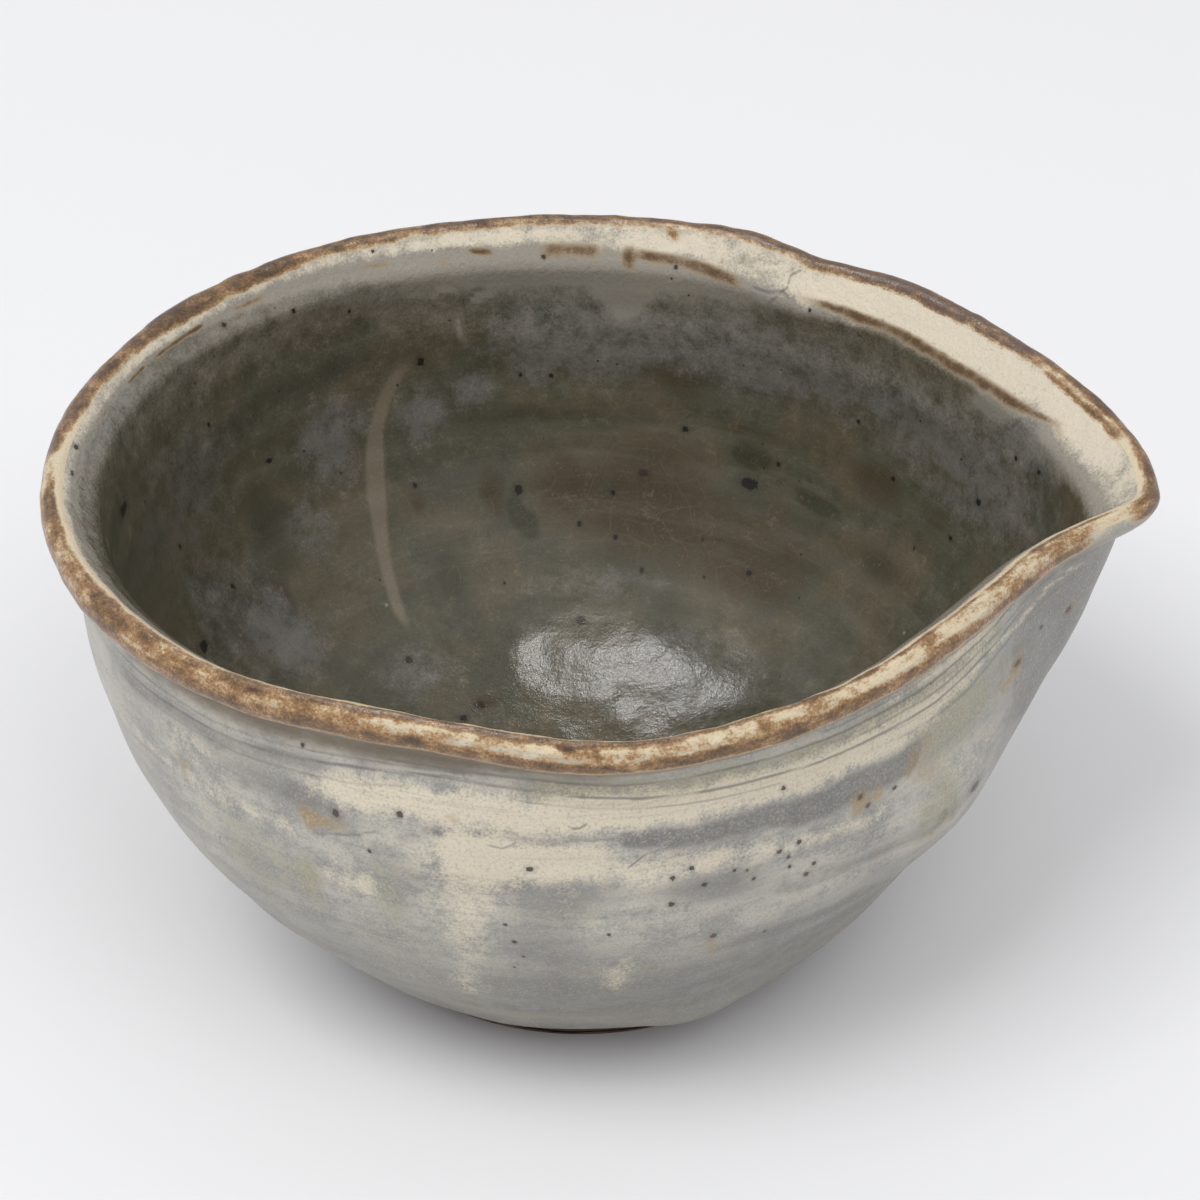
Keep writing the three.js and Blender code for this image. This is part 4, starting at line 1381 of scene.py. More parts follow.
@dataclass(frozen=True)
class Clay:
    """The thrown bowl, its beak and its foot ring."""

    notch_reach: float = 200.0
    foot_columns: int = 320
    turning_marks: Lumps = Lumps(0.22, 1.6, 4.4)
    foot_lumps: Lumps = Lumps(0.2, 14.0, 6.1)

    def body_rows(self) -> Rows:
        """The whole clay profile, from the floor's middle over the lip to the underside's.

        Returns:
            The rows, close together only where the clay shows.
        """
        s = SHAPE
        outside = outside_rows().thinned(LIP_REACH, 1, 6)
        inside = inside_rows().thinned(LIP_REACH, 1, 6)
        under = np.array([
            (s.heel_radius - 0.8, s.foot_height + 0.7),
            (s.shelf_radius + 0.6, s.foot_height + 0.05),
            (s.shelf_radius, s.foot_height),
            (s.foot_radius - s.foot_width / 2, s.foot_height),
            (s.foot_radius / 2, s.foot_height),
            (0.0, s.foot_height),
        ])
        steps = np.linalg.norm(np.diff(np.vstack([outside.points[-1:], under]), axis=0), axis=1)
        downwards = np.tile([0.0, -1.0], (len(under), 1))
        underside = Rows(under, outside.along[-1] + np.cumsum(steps), downwards)
        lip = inside.back().where(np.arange(len(inside.along)) < len(inside.along) - 1)
        return lip.then(outside).then(underside)

    def notch(self, name: str) -> bpy.types.Object:
        """The wedge that divides the beak's clay from the bowl's.

        Args:
            name: The new object's name.

        Returns:
            The closed wedge.
        """
        turns = [math.radians(turn) for turn in SHAPE.beak_seams]
        ends = [(self.notch_reach * math.cos(turn), self.notch_reach * math.sin(turn)) for turn in turns]
        middle = foot_middle() + np.array([*SHAPE.rim_drift, 0]) * MM
        sill = SHAPE.beak_sill * MM
        corners = [(float(middle[0]), float(middle[1]), sill)]
        corners += [(float(middle[0] + x * MM), float(middle[1] + y * MM), sill) for x, y in ends]
        wedge = Bench.draw(name, corners)
        bpy.ops.mesh.edge_face_add()
        bpy.ops.mesh.extrude_region_move(TRANSFORM_OT_translate={"value": (0, 0, SHAPE.rim_height * MM)})
        bpy.ops.mesh.select_all(action="SELECT")
        bpy.ops.mesh.normals_make_consistent(inside=False)
        bpy.ops.object.mode_set(mode="OBJECT")
        return wedge

    def foot_rows(self) -> Rows:
        """The foot ring's closed profile.

        Returns:
            The rows, which end where they started.
        """
        s = SHAPE
        inner = s.foot_radius - s.foot_width
        bevel = s.foot_bevel
        turns = np.linspace(0, math.pi / 2, 5)
        corner = [(bevel * (1 - math.sin(turn)), bevel * (1 - math.cos(turn))) for turn in turns]
        outer_edge = [(s.foot_radius - x, z) for x, z in corner]
        inner_edge = [(inner + x, z) for x, z in reversed(corner)]
        side = [(s.foot_radius, z) for z in np.linspace(bevel, s.foot_height, 9)[1:]]
        inner_side = [(inner, z) for z in np.linspace(s.foot_height, bevel, 9)[:-1]]
        flat = [(r, 0.0) for r in np.linspace(inner + bevel, s.foot_radius - bevel, 8)[1:-1]]
        points = np.array(side + [(inner + s.foot_width / 2, s.foot_height)] + inner_side
                          + inner_edge + flat + list(reversed(outer_edge)))
        points = np.vstack([points, points[:1]])
        return Rows(points, np.zeros(len(points)), np.zeros((len(points), 2)))

    def foot(self) -> bpy.types.Object:
        """The foot ring, its sides a little uneven from the turning tool.

        Returns:
            The piece.
        """
        piece = Bench.spin("foot", self.foot_rows(), self.foot_columns)
        places = Bench.places(piece.data) / MM
        angle = np.degrees(np.arctan2(places[:, 1], places[:, 0]))
        radius = np.hypot(places[:, 0], places[:, 1])
        stretched = wheel_place(angle, places[:, 2]) * np.array([0.15, 0.15, 1.0])
        amount = self.turning_marks.at(stretched) + self.foot_lumps.at(places)
        places[:, :2] *= (1 + amount * ease(places[:, 2], 0.0, 1.2) / radius)[:, None]
        Bench.move(piece.data, places * MM + foot_middle())
        Bench.paint(piece.data, "wheel", wheel_place(angle, places[:, 2] + radius) * MM)
        return piece

    def build(self) -> dict[str, bpy.types.Object]:
        """Makes the three clay pieces.

        Returns:
            The pieces by name.
        """
        made = spun("bowl_clay", self.body_rows())
        settle(made)
        bowl = made.piece
        beak = bowl.copy()
        beak.data = bowl.data.copy()
        beak.name = "beak_clay"
        beak.data.name = "beak_clay"
        bpy.context.scene.collection.objects.link(beak)
        uncut = bowl.data.copy()
        cutter = self.notch("notch_cutter")
        Bench.cut(bowl, cutter, keep_inside=False)
        Bench.cut(beak, cutter, keep_inside=True)
        bpy.data.objects.remove(cutter)
        Bench.repaint(bowl, uncut)
        Bench.repaint(beak, uncut)
        bpy.data.meshes.remove(uncut)
        foot = self.foot()
        for piece in (bowl, beak, foot):
            Bench.smooth(piece)
        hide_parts("thrown_bowl")
        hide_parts("drawn_beak")
        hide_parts("foot_ring")
        return {piece.name: piece for piece in (bowl, beak, foot)}


@dataclass(frozen=True)
class Coat:
    """One coat of glaze: its thickness, and how far from the crest its edge lies."""

    thickness: float = 0.55
    edge: float = 0.02
    feather: float = 6.0
    heel_thinning: float = 0.6
    heel_feather: float = 1.5
    outer_start: float = 2.3
    inner_start: float = 1.5

    def closed(self, clay: Rows, start: float, to_axis: bool) -> Rows:
        """The coat's closed profile over the clay's rows.

        Args:
            clay: The clay's rows, from the crest.
            start: How far from the crest the coat begins.
            to_axis: True if the coat ends on the axis, False if it ends in an edge.

        Returns:
            The rows of its face and then of its back.
        """
        covered = clay.where(np.abs(clay.along) >= start)
        distance = np.abs(covered.along)
        thick = self.edge + (self.thickness - self.edge) * ease(distance, start, start + self.feather)
        if not to_axis:
            thick *= 1 - self.heel_thinning * ease(distance, distance[-1] - self.heel_feather, distance[-1])
        face = covered.raised(thick)
        back = covered.thinned(LIP_REACH, 2, 7)
        if to_axis:
            return face.back().then(back)
        return face.then(back.back()).then(face.where(np.arange(len(distance)) == 0))


@dataclass(frozen=True)
class Glaze:
    """The poured inner coat and the dipped outer one."""

    coat: Coat = Coat()

    def build(self) -> dict[str, bpy.types.Object]:
        """Makes the two coats.

        Returns:
            The pieces by name.
        """
        coat = self.coat
        outer = spun("outer_coat", coat.closed(outside_rows(), coat.outer_start, to_axis=False))
        inner = spun("inner_coat", coat.closed(inside_rows(), coat.inner_start, to_axis=True))
        for made, node in ((outer, "outer_glaze"), (inner, "inner_glaze")):
            settle(made)
            Bench.smooth(made.piece)
            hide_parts(node)
        return {made.piece.name: made.piece for made in (outer, inner)}


@dataclass(frozen=True)
class Lamp:
    """A square softbox: its place and width in metres, its power in watts, and what it acts on."""

    name: str
    place: tuple[float, float, float]
    size: float
    power: float
    mirrored: bool = True
    lighting: bool = True
    aim: tuple[float, float, float] = (0, 0, 0.05)

    def build(self) -> None:
        """Makes the lamp and turns it to the bowl."""
        bpy.ops.object.light_add(type="AREA", location=self.place)
        box = bpy.context.object
        box.name = self.name
        box.data.shape = "SQUARE"
        box.data.size = self.size
        box.data.energy = self.power
        box.visible_glossy = self.mirrored
        box.visible_diffuse = self.lighting
        box.rotation_euler = (Vector(self.aim) - box.location).to_track_quat("-Z", "Y").to_euler()


@dataclass(frozen=True)
class Studio:
    """The floor, the light and the camera."""

    aim: tuple[float, float, float] = (0.04, -11.07, 60.5)
    distance: float = 500.0
    elevation: float = 35.0
    view_width: float = 20.0
    sensor: float = 36.0
    floor_size: float = 6.0
    floor_colour: tuple[float, float, float] = (0.86, 0.86, 0.875)
    floor_roughness: float = 0.9
    floor_gloss: float = 0.1
    tent_colour: tuple[float, float, float] = (0.985, 0.99, 1.0)
    tent_light: float = 0.62
    tent_seen: float = 0.86
    lamps: tuple[Lamp, ...] = (
        Lamp("key_softbox", (-0.9, -0.84, 2.04), 1.1, 23.5, mirrored=False),
        Lamp("fill_softbox", (0.66, -1.1, 1.85), 1.2, 9.0, mirrored=False),
        Lamp("high_window", (-0.12, 0.25, 0.86), 0.24, 2.2, lighting=False),
    )

    def build(self) -> None:
        """Makes the floor, the tent, the lamps and the camera."""
        self.floor()
        self.tent()
        for lamp in self.lamps:
            lamp.build()
        self.camera()
        bpy.context.scene.view_settings.view_transform = "Standard"

    def floor(self) -> None:
        """Makes the pale floor."""
        Bench.deselect()
        bpy.ops.mesh.primitive_circle_add(vertices=128, radius=self.floor_size / 2, fill_type="NGON")
        floor = bpy.context.object
        floor.name = "floor"
        paint = bpy.data.materials.new("pale_floor")
        paint.use_nodes = True
        shader = paint.node_tree.nodes["Principled BSDF"]
        shader.inputs["Base Color"].default_value = (*self.floor_colour, 1)
        shader.inputs["Roughness"].default_value = self.floor_roughness
        shader.inputs["Specular IOR Level"].default_value = self.floor_gloss
        floor.data.materials.append(paint)

    def tent(self) -> None:
        """Makes the white tent all round, which the camera sees as pale as the floor."""
        world = bpy.data.worlds.new("tent")
        world.use_nodes = True
        nodes, links = world.node_tree.nodes, world.node_tree.links
        background = nodes["Background"]
        background.inputs["Color"].default_value = (*self.tent_colour, 1)
        rays = nodes.new("ShaderNodeLightPath")
        level = nodes.new("ShaderNodeMapRange")
        level.inputs["To Min"].default_value = self.tent_light
        level.inputs["To Max"].default_value = self.tent_seen
        links.new(rays.outputs["Is Camera Ray"], level.inputs["Value"])
        links.new(level.outputs[0], background.inputs["Strength"])
        bpy.context.scene.world = world

    def camera(self) -> None:
        """Makes the camera."""
        data = bpy.data.cameras.new("camera")
        camera = bpy.data.objects.new("camera", data)
        bpy.context.scene.collection.objects.link(camera)
        data.sensor_width = self.sensor
        data.lens = self.sensor / 2 / math.tan(math.radians(self.view_width / 2))
        data.clip_start = 0.01
        data.clip_end = 50.0
        tilt = math.radians(self.elevation)
        back = Vector((0, -math.cos(tilt), math.sin(tilt))) * self.distance * MM
        camera.location = Vector(self.aim) * MM + back
        camera.rotation_euler = (-back).to_track_quat("-Z", "Y").to_euler()
        bpy.context.scene.camera = camera


def seen(red: float, green: float, blue: float) -> tuple[float, float, float, float]:
    """A colour as it looks on a screen, in the light's own scale.

    Args:
        red: From 0 to 255.
        green: From 0 to 255.
        blue: From 0 to 255.

    Returns:
        The colour's four parts, from 0 to 1.
    """
    shares = [part / 255 for part in (red, green, blue)]
    return (*(s / 12.92 if s <= 0.04045 else ((s + 0.055) / 1.055) ** 2.4 for s in shares), 1.0)


class Recipe:
    """A material's nodes, put together one step at a time."""

    def __init__(self, name: str) -> None:
        """Starts a material with an untouched shader.

        Args:
            name: The material's name.
        """
        self.material = bpy.data.materials.new(name)
        self.material.use_nodes = True
        self.nodes = self.material.node_tree.nodes
        self.links = self.material.node_tree.links
        self.shader = self.nodes["Principled BSDF"]
        self.place = self.add("ShaderNodeTexCoord").outputs["Object"]
        self.wheel = self.stored("wheel", vector=True)

    def add(self, kind: str, **settings: object) -> bpy.types.Node:
        """Adds a node.

        Args:
            kind: The node's type.
            **settings: Its settings by name.

        Returns:
            The node.
        """
        node = self.nodes.new(kind)
        for name, value in settings.items():
            setattr(node, name, value)
        return node

    def join(self, source: object, target: Socket) -> None:
        """Feeds a socket from another socket, a number or a colour.

        Args:
            source: What it is fed with.
            target: The socket.
        """
        if isinstance(source, bpy.types.NodeSocket):
            self.links.new(source, target)
        else:
            target.default_value = source

    def stored(self, name: str, vector: bool = False) -> Socket:
        """A number or a vector that the mesh stores at each vertex."""
        node = self.add("ShaderNodeAttribute", attribute_name=name)
        return node.outputs["Vector" if vector else "Fac"]

    def maths(self, operation: str, *values: object) -> Socket:
        """The result of one operation.

        Args:
            operation: The operation's name.
            *values: Up to three sockets or numbers.

        Returns:
            The result.
        """
        node = self.add("ShaderNodeMath", operation=operation)
        for value, socket in zip(values, node.inputs):
            self.join(value, socket)
        return node.outputs[0]

    def plus(self, *values: object) -> Socket:
        """The sum of several numbers."""
        total = values[0]
        for value in values[1:]:
            total = self.maths("ADD", total, value)
        return total

    def times(self, *values: object) -> Socket:
        """The product of several numbers."""
        total = values[0]
        for value in values[1:]:
            total = self.maths("MULTIPLY", total, value)
        return total

    def centred(self, pattern: Socket, depth: float) -> Socket:
        """A pattern from 0 to 1 moved to lie round 0, depth from end to end."""
        return self.times(self.maths("SUBTRACT", pattern, 0.5), depth)

    def ramp(self, value: object, start: float, end: float, low: float = 0.0, high: float = 1.0) -> Socket:
        """A value eased between two levels, and level outside them.

        Args:
            value: The value.
            start: Where the result is low.
            end: Where the result is high.
            low: The result at and before start.
            high: The result at and after end.

        Returns:
            The result.
        """
        node = self.add("ShaderNodeMapRange", interpolation_type="SMOOTHSTEP")
        ends = {"Value": value, "From Min": start, "From Max": end, "To Min": low, "To Max": high}
        for name, source in ends.items():
            self.join(source, node.inputs[name])
        return node.outputs[0]

    def scaled(self, vector: Socket, across: float, down: float) -> Socket:
        """A vector with its first two parts and its third part scaled.

        Args:
            vector: The vector.
            across: The scale of the first two parts.
            down: The scale of the third part.

        Returns:
            The scaled vector.
        """
        node = self.add("ShaderNodeVectorMath", operation="MULTIPLY")
        self.join(vector, node.inputs[0])
        node.inputs[1].default_value = (across, across, down)
        return node.outputs[0]

    def cloud(
        self, vector: Socket, size: float, detail: float = 2.0, rough: float = 0.5, bend: float = 0.0
    ) -> Socket:
        """A cloudy pattern from 0 to 1.

        Args:
            vector: Where the pattern lies.
            size: About how wide a cloud is, in millimetres.
            detail: How many finer layers it has.
            rough: How strong the finer layers are.
            bend: How far it is bent.

        Returns:
            The pattern.
        """
        node = self.add("ShaderNodeTexNoise")
        self.join(vector, node.inputs["Vector"])
        node.inputs["Scale"].default_value = 1 / (size * MM)
        node.inputs["Detail"].default_value = detail
        node.inputs["Roughness"].default_value = rough
        node.inputs["Distortion"].default_value = bend
        return node.outputs["Fac"]

    def crazed(self, vector: Socket, size: float, width: float) -> Socket:
        """A net of fine lines.

        Args:
            vector: Where the net lies.
            size: About how wide its meshes are, in millimetres.
            width: How wide its lines are, for its meshes.

        Returns:
            1 on the lines and 0 between them.
        """
        bent = self.add("ShaderNodeVectorMath", operation="ADD")
        self.join(vector, bent.inputs[0])
        wobble = self.add("ShaderNodeTexNoise")
        self.join(vector, wobble.inputs["Vector"])
        wobble.inputs["Scale"].default_value = 1 / (size * MM)
        most = 0.3 * size * MM
        self.join(self.scaled(wobble.outputs["Color"], most, most), bent.inputs[1])
        node = self.add("ShaderNodeTexVoronoi", feature="DISTANCE_TO_EDGE")
        self.join(bent.outputs[0], node.inputs["Vector"])
        node.inputs["Scale"].default_value = 1 / (size * MM)
        return self.ramp(node.outputs["Distance"], 0.0, width, 1.0, 0.0)

    def dots(self, spacing: float, size: float, share: float) -> Socket:
        """Small dots strewn over the surface.

        Args:
            spacing: About how far apart they could be, in millimetres.
            size: Their half width, in millimetres.
            share: How many of the places have one, from 0 to 1.

        Returns:
            1 in the dots and 0 between them.
        """
        node = self.add("ShaderNodeTexVoronoi")
        self.join(self.place, node.inputs["Vector"])
        node.inputs["Scale"].default_value = 1 / (spacing * MM)
        parts = self.add("ShaderNodeSeparateColor")
        self.join(node.outputs["Color"], parts.inputs[0])
        wanted = self.maths("GREATER_THAN", parts.outputs[0], 1 - share)
        reach = size / spacing
        return self.times(self.ramp(node.outputs["Distance"], reach * 0.5, reach, 1.0, 0.0), wanted)

    def mix(self, share: object, under: object, over: object) -> Socket:
        """One colour laid over another.

        Args:
            share: How much of the upper colour shows.
            under: The lower colour.
            over: The upper colour.

        Returns:
            The mixed colour.
        """
        node = self.add("ShaderNodeMix", data_type="RGBA")
        self.join(share, node.inputs[0])
        self.join(under, node.inputs[6])
        self.join(over, node.inputs[7])
        return node.outputs[2]

    def graded(self, value: Socket, stops: tuple[tuple[float, Colour], ...]) -> Socket:
        """A colour picked from a scale of colours.

        Args:
            value: Where on the scale it is.
            stops: The place and the colour of each step of the scale.

        Returns:
            The colour.
        """
        node = self.add("ShaderNodeValToRGB")
        self.join(value, node.inputs[0])
        scale = node.color_ramp.elements
        for count, (place, colour) in enumerate(stops):
            stop = scale[count] if count < 2 else scale.new(place)
            stop.position = place
            stop.color = seen(*colour)
        return node.outputs[0]

    def bump(self, height: Socket, depth: float) -> None:
        """Raises the surface by a pattern.

        Args:
            height: The pattern, from 0 to 1.
            depth: How high 1 is, in millimetres.
        """
        node = self.add("ShaderNodeBump")
        node.inputs["Strength"].default_value = 1.0
        node.inputs["Distance"].default_value = depth * MM
        self.join(height, node.inputs["Height"])
        self.links.new(node.outputs[0], self.shader.inputs["Normal"])


class Patterns:
    """The patterns that every glaze on the bowl is broken up by."""

    dark_grain: Colour = (62, 60, 58)
    light_grain: Colour = (236, 231, 220)

    def __init__(self, r: Recipe) -> None:
        """Adds the patterns to a material.

        Args:
            r: The material.
        """
        self.r = r
        self.mottle = r.cloud(r.place, 3.4, 5.0, 0.72)
        self.grain = r.cloud(r.place, 0.4, 2.0, 0.8)
        self.wide = r.cloud(r.place, 13.0, 2.0, 0.55, 0.5)
        self.sweep = r.cloud(r.scaled(r.wheel, 0.12, 1.0), 3.2, 3.0, 0.62)
        self.hair = r.cloud(r.scaled(r.wheel, 0.05, 1.0), 0.8, 2.0, 0.7)

    def toned(self, colour: Socket, tone: Tone, over: Colour, most: float, broken: float = 2.0) -> Socket:
        """Lays a painted tone over a colour, its edges powdery.

        Args:
            colour: The colour under it.
            tone: The tone.
            over: The tone's colour.
            most: How much of it shows where it is strongest.
            broken: How far the mottle breaks its edges up.

        Returns:
            The new colour.
        """
        r = self.r
        painted = r.stored(tone.value)
        noise = r.plus(r.centred(self.mottle, broken), r.centred(self.grain, 0.45 * broken))
        edge = r.plus(painted, r.times(noise, r.ramp(painted, 0.0, 0.25)))
        return r.mix(r.times(r.ramp(edge, 0.2, 1.15), most), colour, seen(*over))

    def grained(self, colour: Socket, dark: float, light: float) -> Socket:
        """Scatters fine dark and light grain over a colour.

        Args:
            colour: The colour under it.
            dark: How strong the dark grain is.
            light: How strong the light grain is.

        Returns:
            The new colour.
        """
        r = self.r
        colour = r.mix(r.ramp(self.grain, 0.48, 0.34, 0.0, dark), colour, seen(*self.dark_grain))
        return r.mix(r.ramp(self.grain, 0.52, 0.66, 0.0, light), colour, seen(*self.light_grain))

    def lined(self, colour: Socket, over: Colour, most: float) -> Socket:
        """Draws the fine lines over a colour.

        Args:
            colour: The colour under them.
            over: The lines' colour.
            most: How strong they are.

        Returns:
            The new colour.
        """
        r = self.r
        wander = r.centred(self.mottle, 2.4)
        faint = r.ramp(self.hair, 0.36, 0.56, 0.25, 1.0)
        broken = r.times(faint, r.ramp(self.grain, 0.3, 0.55, 0.5, 1.0), most)
        for layer in range(len(PAINT.lines)):
            away = r.maths("ABSOLUTE", r.plus(r.stored(f"line_{layer}"), wander))
            share = r.times(r.ramp(away, 0.3, 2.0, 1.0, 0.0), r.stored(f"line_share_{layer}"), broken)
            colour = r.mix(share, colour, seen(*over))
        return colour

    def speckled(self, colour: Socket, pit: Colour, rust: Colour) -> Socket:
        """Sets the listed specks over a colour.

        Args:
            colour: The colour under them.
            pit: The colour of a pinhole.
            rust: The colour of a speck of iron.

        Returns:
            The new colour.
        """
        r = self.r
        ragged = r.plus(r.centred(self.mottle, 1.6), r.centred(self.grain, 1.2))
        for layer in range(PAINT.speck_layers):
            parts = r.add("ShaderNodeSeparateXYZ")
            r.links.new(r.stored(f"speck_{layer}", vector=True), parts.inputs[0])
            x, y, distance = (parts.outputs[i] for i in range(3))
            away = r.plus(r.maths("SQRT", r.plus(r.times(x, x), r.times(y, y))), ragged)
            near = r.ramp(distance, 2.6, 3.2, 1.0, 0.0)
            spot = r.times(r.ramp(away, 0.75, 1.3, 1.0, 0.0), near)
            halo = r.times(r.ramp(away, 0.8, 2.6, 0.3, 0.0), near)
            tint = r.mix(r.stored(f"speck_rust_{layer}"), seen(*pit), seen(*rust))
            colour = r.mix(r.times(r.maths("MAXIMUM", spot, halo), 0.92), colour, tint)
        return colour


@dataclass(frozen=True)
class IronBreak:
    """The brown that shows where the glaze runs thin over the lip and the crease, and under the roll of the
    lip a brown band that is partly painted shade.
    """

    scale: tuple[tuple[float, Colour], ...] = (
        (0.18, (202, 187, 161)),
        (1.00, (72, 56, 44)),
        (0.34, (184, 162, 130)),
        (0.50, (158, 124, 86)),
        (0.66, (124, 94, 64)),
        (0.84, (94, 72, 52)),
    )
    plum: Colour = (96, 76, 66)
    crease_edge: Colour = (156, 134, 100)
    crease: Colour = (82, 54, 22)
    # Partly painted shade: the colour of the brown band under the roll of the lip
    underlip_umber_and_shade: Colour = (118, 102, 80)

    def over(self, p: Patterns, colour: Socket) -> tuple[Socket, Socket]:
        """Lays the brown over a colour.

        Args:
            p: The patterns of the material that it is for.
            colour: The colour of the glaze under it.

        Returns:
            The new colour, and how strong the brown is.
        """
        r = p.r
        painted = r.stored(Tone.IRON.value)
        crust = r.cloud(r.scaled(r.wheel, 0.45, 1.0), 1.2, 3.0, 0.7)
        lumps = r.cloud(r.scaled(r.wheel, 0.5, 1.0), 3.6, 2.0, 0.6)
        noise = r.plus(r.centred(crust, 1.0), r.centred(lumps, 0.8), r.centred(p.grain, 0.7))
        iron = r.plus(painted, r.times(noise, r.ramp(painted, 0.0, 0.3)))
        line = r.plus(r.stored(Tone.OCHRE.value), r.centred(p.mottle, 1.7), r.centred(p.grain, 0.6))
        colour = r.mix(r.ramp(line, 0.1, 0.8, 0.0, 0.7), colour, seen(*self.crease_edge))
        colour = r.mix(r.ramp(line, 0.4, 1.25, 0.0, 0.95), colour, seen(*self.crease))
        # Partly painted shade: the soft brown band under the roll of the lip
        low = r.plus(r.stored(Tone.UNDERLIP_UMBER_AND_SHADE.value), r.centred(crust, 0.7), r.centred(p.grain, 0.8))
        colour = r.mix(r.ramp(low, 0.1, 1.1, 0.0, 0.85), colour, seen(*self.underlip_umber_and_shade))
        made = r.mix(r.ramp(iron, 0.1, 0.48), colour, r.graded(iron, self.scale))
        plum = r.times(r.ramp(iron, 0.25, 0.8), r.ramp(r.stored(Tone.PLUM.value), 0.2, 0.8), 0.75)
        return r.mix(plum, made, seen(*self.plum)), r.ramp(iron, 0.3, 0.7)


@dataclass(frozen=True)
class OuterFinish:
    """The dipped coat outside: a pale, streaked, satin glaze with cream, blue-grey and iron in it."""

    grey: Colour = (146, 144, 138)
    pale: Colour = (186, 181, 169)
    cream: Colour = (218, 206, 183)
    smoke: Colour = (104, 103, 101)
    # Painted shade: the colour that the lower outside wall is darkened towards
    painted_low_shade: Colour = (100, 99, 91)
    moss: Colour = (152, 147, 122)
    rust: Colour = (156, 130, 88)
    # Partly painted shade: the colour of the dark lines drawn along the grooves
    groove: Colour = (92, 90, 90)
    pit: Colour = (44, 40, 38)
    iron_speck: Colour = (88, 58, 38)

    def made(self, name: str) -> bpy.types.Material:
        """The finished material.

        Args:
            name: The material's name.

        Returns:
            The material.
        """
        r = Recipe(name)
        p = Patterns(r)
        ground = r.plus(r.times(p.sweep, 0.25), r.times(p.wide, 0.3), r.times(p.mottle, 0.45))
        colour = r.mix(r.ramp(ground, 0.4, 0.6), seen(*self.grey), seen(*self.pale))
        # Painted shade: the outside wall darkened towards the foot
        colour = r.mix(r.ramp(r.stored("along"), 34.0, 60.0, 0.0, 0.6), colour, seen(*self.painted_low_shade))
        for tone, over, most in (
            (Tone.MOSS, self.moss, 0.75),
            (Tone.SMOKE, self.smoke, 0.7),
            (Tone.CREAM, self.cream, 0.8),
            (Tone.RUST, self.rust, 0.75),
        ):
            colour = p.toned(colour, tone, over, most)
        colour = r.mix(r.ramp(p.hair, 0.48, 0.32, 0.0, 0.14), colour, seen(*self.smoke))
        # The dark groove lines are partly grey glaze in the grooves and partly painted shade.
        colour = p.lined(colour, self.groove, 0.75)
        colour = p.grained(colour, 0.24, 0.16)
        dots = r.dots(2.4, 0.2, 0.14)
        colour = r.mix(r.times(dots, 0.5), colour, seen(*self.pit))
        colour, iron = IronBreak().over(p, colour)
        colour = p.speckled(colour, self.pit, self.iron_speck)
        r.join(colour, r.shader.inputs["Base Color"])
        rough = r.plus(r.ramp(p.mottle, 0.35, 0.65, 0.3, 0.44), r.times(iron, -0.14))
        r.join(rough, r.shader.inputs["Roughness"])
        r.bump(r.plus(r.times(p.mottle, 0.5), r.times(p.grain, 0.25), r.times(dots, -0.5)), 0.2)
        return r.material


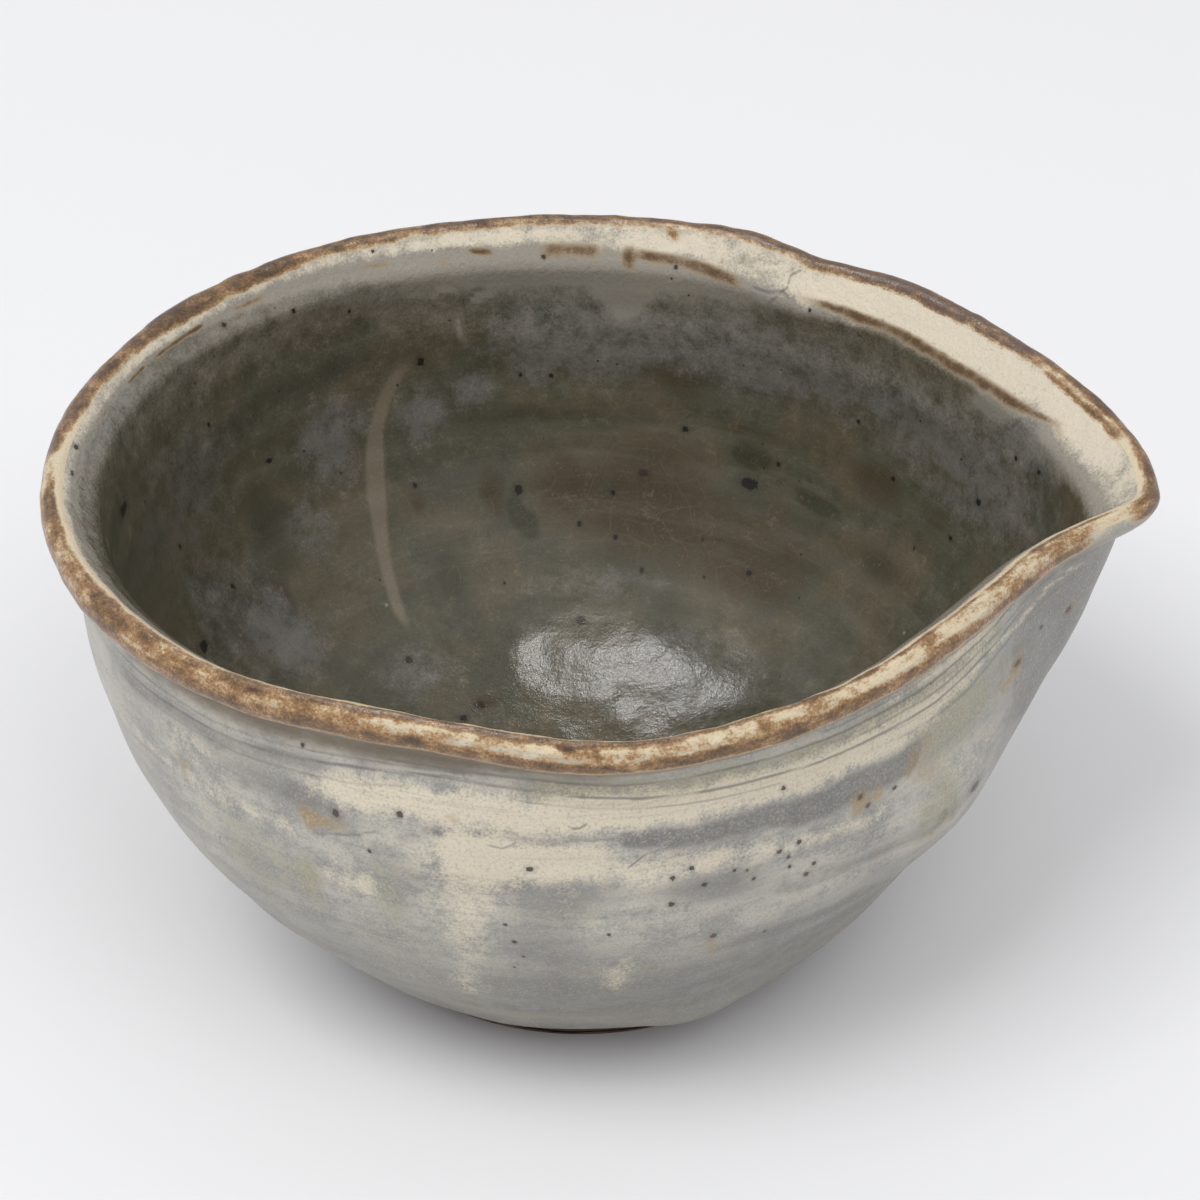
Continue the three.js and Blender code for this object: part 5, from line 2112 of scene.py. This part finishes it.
@dataclass(frozen=True)
class InnerFinish:
    """The poured coat inside: a dark, glossy, crackled glaze that turns milky under the lip."""

    deep: Colour = (82, 79, 65)
    warm: Colour = (92, 84, 66)
    brown: Colour = (64, 48, 24)
    smoke: Colour = (114, 112, 109)
    moss: Colour = (54, 54, 36)
    milk: Colour = (158, 151, 140)
    cream: Colour = (218, 207, 186)
    drip: Colour = (126, 115, 98)
    craze: Colour = (136, 132, 118)
    haze: Colour = (134, 129, 118)
    crack: Colour = (84, 84, 88)
    blister: Colour = (178, 176, 168)
    pit: Colour = (20, 17, 16)
    iron_speck: Colour = (60, 36, 22)

    def made(self, name: str) -> bpy.types.Material:
        """The finished material.

        Args:
            name: The material's name.

        Returns:
            The material.
        """
        r = Recipe(name)
        p = Patterns(r)
        wall = r.ramp(r.stored("along"), -80.0, -62.0)
        colour = r.mix(r.ramp(p.wide, 0.4, 0.62), seen(*self.deep), seen(*self.warm))
        for tone, over, most in (
            (Tone.RUST, self.brown, 0.8),
            (Tone.SMOKE, self.smoke, 0.7),
            (Tone.MOSS, self.moss, 0.8),
        ):
            colour = p.toned(colour, tone, over, most)
        colour = r.mix(r.times(r.ramp(p.sweep, 0.48, 0.72), wall, 0.12), colour, seen(*self.haze))
        colour = r.mix(r.times(r.ramp(p.hair, 0.55, 0.75), wall, 0.08), colour, seen(*self.haze))
        colour = r.mix(r.ramp(p.mottle, 0.52, 0.3, 0.0, 0.35), colour, seen(*self.moss))
        colour = r.mix(r.ramp(p.mottle, 0.5, 0.7, 0.0, 0.1), colour, seen(*self.haze))
        net = r.crazed(r.scaled(r.wheel, 0.6, 1.0), 4.2, 0.022)
        fine = r.times(net, r.ramp(p.wide, 0.34, 0.54), wall, 0.13)
        colour = r.mix(fine, colour, seen(*self.craze))
        colour = r.mix(r.ramp(r.stored(Tone.DRIP.value), 0.1, 0.8, 0.0, 0.8), colour, seen(*self.drip))
        colour = p.toned(colour, Tone.MILK, self.milk, 0.8, 1.0)
        colour = p.toned(colour, Tone.CREAM, self.cream, 0.95)
        colour = p.lined(colour, self.crack, 0.9)
        colour = p.grained(colour, 0.13, 0.03)
        dots = r.dots(3.0, 0.28, 0.2)
        colour = r.mix(r.times(dots, 0.8), colour, seen(*self.pit))
        colour = r.mix(r.times(r.dots(7.0, 0.4, 0.25), 0.4), colour, seen(*self.blister))
        colour, iron = IronBreak().over(p, colour)
        colour = p.speckled(colour, self.pit, self.iron_speck)
        r.join(colour, r.shader.inputs["Base Color"])
        lip = r.ramp(r.stored("along"), -14.0, -7.0)
        pooled = r.ramp(wall, 0.0, 1.0, -0.22, 0.0)
        rough = r.plus(r.ramp(p.mottle, 0.35, 0.65, 0.32, 0.42), r.times(lip, -0.12), pooled)
        r.join(rough, r.shader.inputs["Roughness"])
        lumps = r.cloud(r.place, 1.1, 2.0, 0.7)
        uneven = r.times(p.mottle, r.ramp(wall, 0.0, 1.0, 1.1, 0.1))
        r.bump(r.plus(r.times(lumps, r.plus(r.times(lip, 0.9), 0.1)), r.times(p.grain, 0.08), uneven), 0.2)
        return r.material


@dataclass(frozen=True)
class FootFinish:
    """The bare, dark, matte clay of the foot and the recess inside it."""

    dark: Colour = (64, 49, 45)
    light: Colour = (104, 82, 70)
    grog: Colour = (158, 132, 110)

    def colour(self, r: Recipe) -> tuple[Socket, Socket]:
        """The clay's colour.

        Args:
            r: The material that it is for.

        Returns:
            The colour, and the relief of the clay from 0 to 1.
        """
        turning = r.cloud(r.scaled(r.wheel, 0.1, 1.0), 0.9, 4.0, 0.7)
        mottle = r.cloud(r.place, 5.0, 5.0, 0.65)
        grit = r.cloud(r.place, 0.5, 3.0, 0.75)
        made = r.mix(r.ramp(r.plus(r.times(turning, 0.5), r.times(mottle, 0.5)), 0.38, 0.62),
                     seen(*self.dark), seen(*self.light))
        made = r.mix(r.ramp(grit, 0.58, 0.75, 0.0, 0.45), made, seen(*self.grog))
        return made, r.plus(r.times(turning, 0.5), r.times(grit, 0.5))

    def made(self, name: str) -> bpy.types.Material:
        """The finished material.

        Args:
            name: The material's name.

        Returns:
            The material.
        """
        r = Recipe(name)
        colour, relief = self.colour(r)
        r.join(colour, r.shader.inputs["Base Color"])
        r.shader.inputs["Roughness"].default_value = 0.85
        r.bump(relief, 0.25)
        return r.material


@dataclass(frozen=True)
class LipFinish:
    """The clay that shows: glassy iron on the crest of the lip, and bare clay under the bowl."""

    under: Colour = (214, 198, 168)
    bare_from: float = 70.0

    def made(self, name: str) -> bpy.types.Material:
        """The finished material.

        Args:
            name: The material's name.

        Returns:
            The material.
        """
        r = Recipe(name)
        p = Patterns(r)
        bare = r.ramp(r.stored("along"), self.bare_from, self.bare_from + 4)
        clay, grit = FootFinish().colour(r)
        colour, iron = IronBreak().over(p, p.grained(seen(*self.under), 0.2, 0.1))
        r.join(r.mix(bare, colour, clay), r.shader.inputs["Base Color"])
        gloss = r.ramp(p.mottle, 0.3, 0.7, 0.22, 0.38)
        r.join(r.maths("MAXIMUM", gloss, r.times(bare, 0.85)), r.shader.inputs["Roughness"])
        lumps = r.cloud(r.place, 1.5, 3.0, 0.6)
        r.bump(r.plus(r.times(lumps, 0.5), r.times(p.grain, 0.2), r.times(grit, bare, 0.4)), 0.24)
        return r.material


def main() -> None:
    """Builds the bowl and its studio, and reports each piece."""
    logging.basicConfig(level=logging.INFO)
    Studio().build()
    pieces = {**Clay().build(), **Glaze().build()}
    finishes = {
        "bowl_clay": LipFinish().made("lip_clay"),
        "beak_clay": LipFinish().made("beak_lip_clay"),
        "foot": FootFinish().made("foot_clay"),
        "outer_coat": OuterFinish().made("outer_glaze"),
        "inner_coat": InnerFinish().made("inner_glaze"),
    }
    for name, piece in pieces.items():
        piece.data.materials.clear()
        piece.data.materials.append(finishes[name])
        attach(piece, BODY)
        log.info("%s: %d vertices, %d faces", name, len(piece.data.vertices), len(piece.data.polygons))


if __name__ == "__main__":
    main()
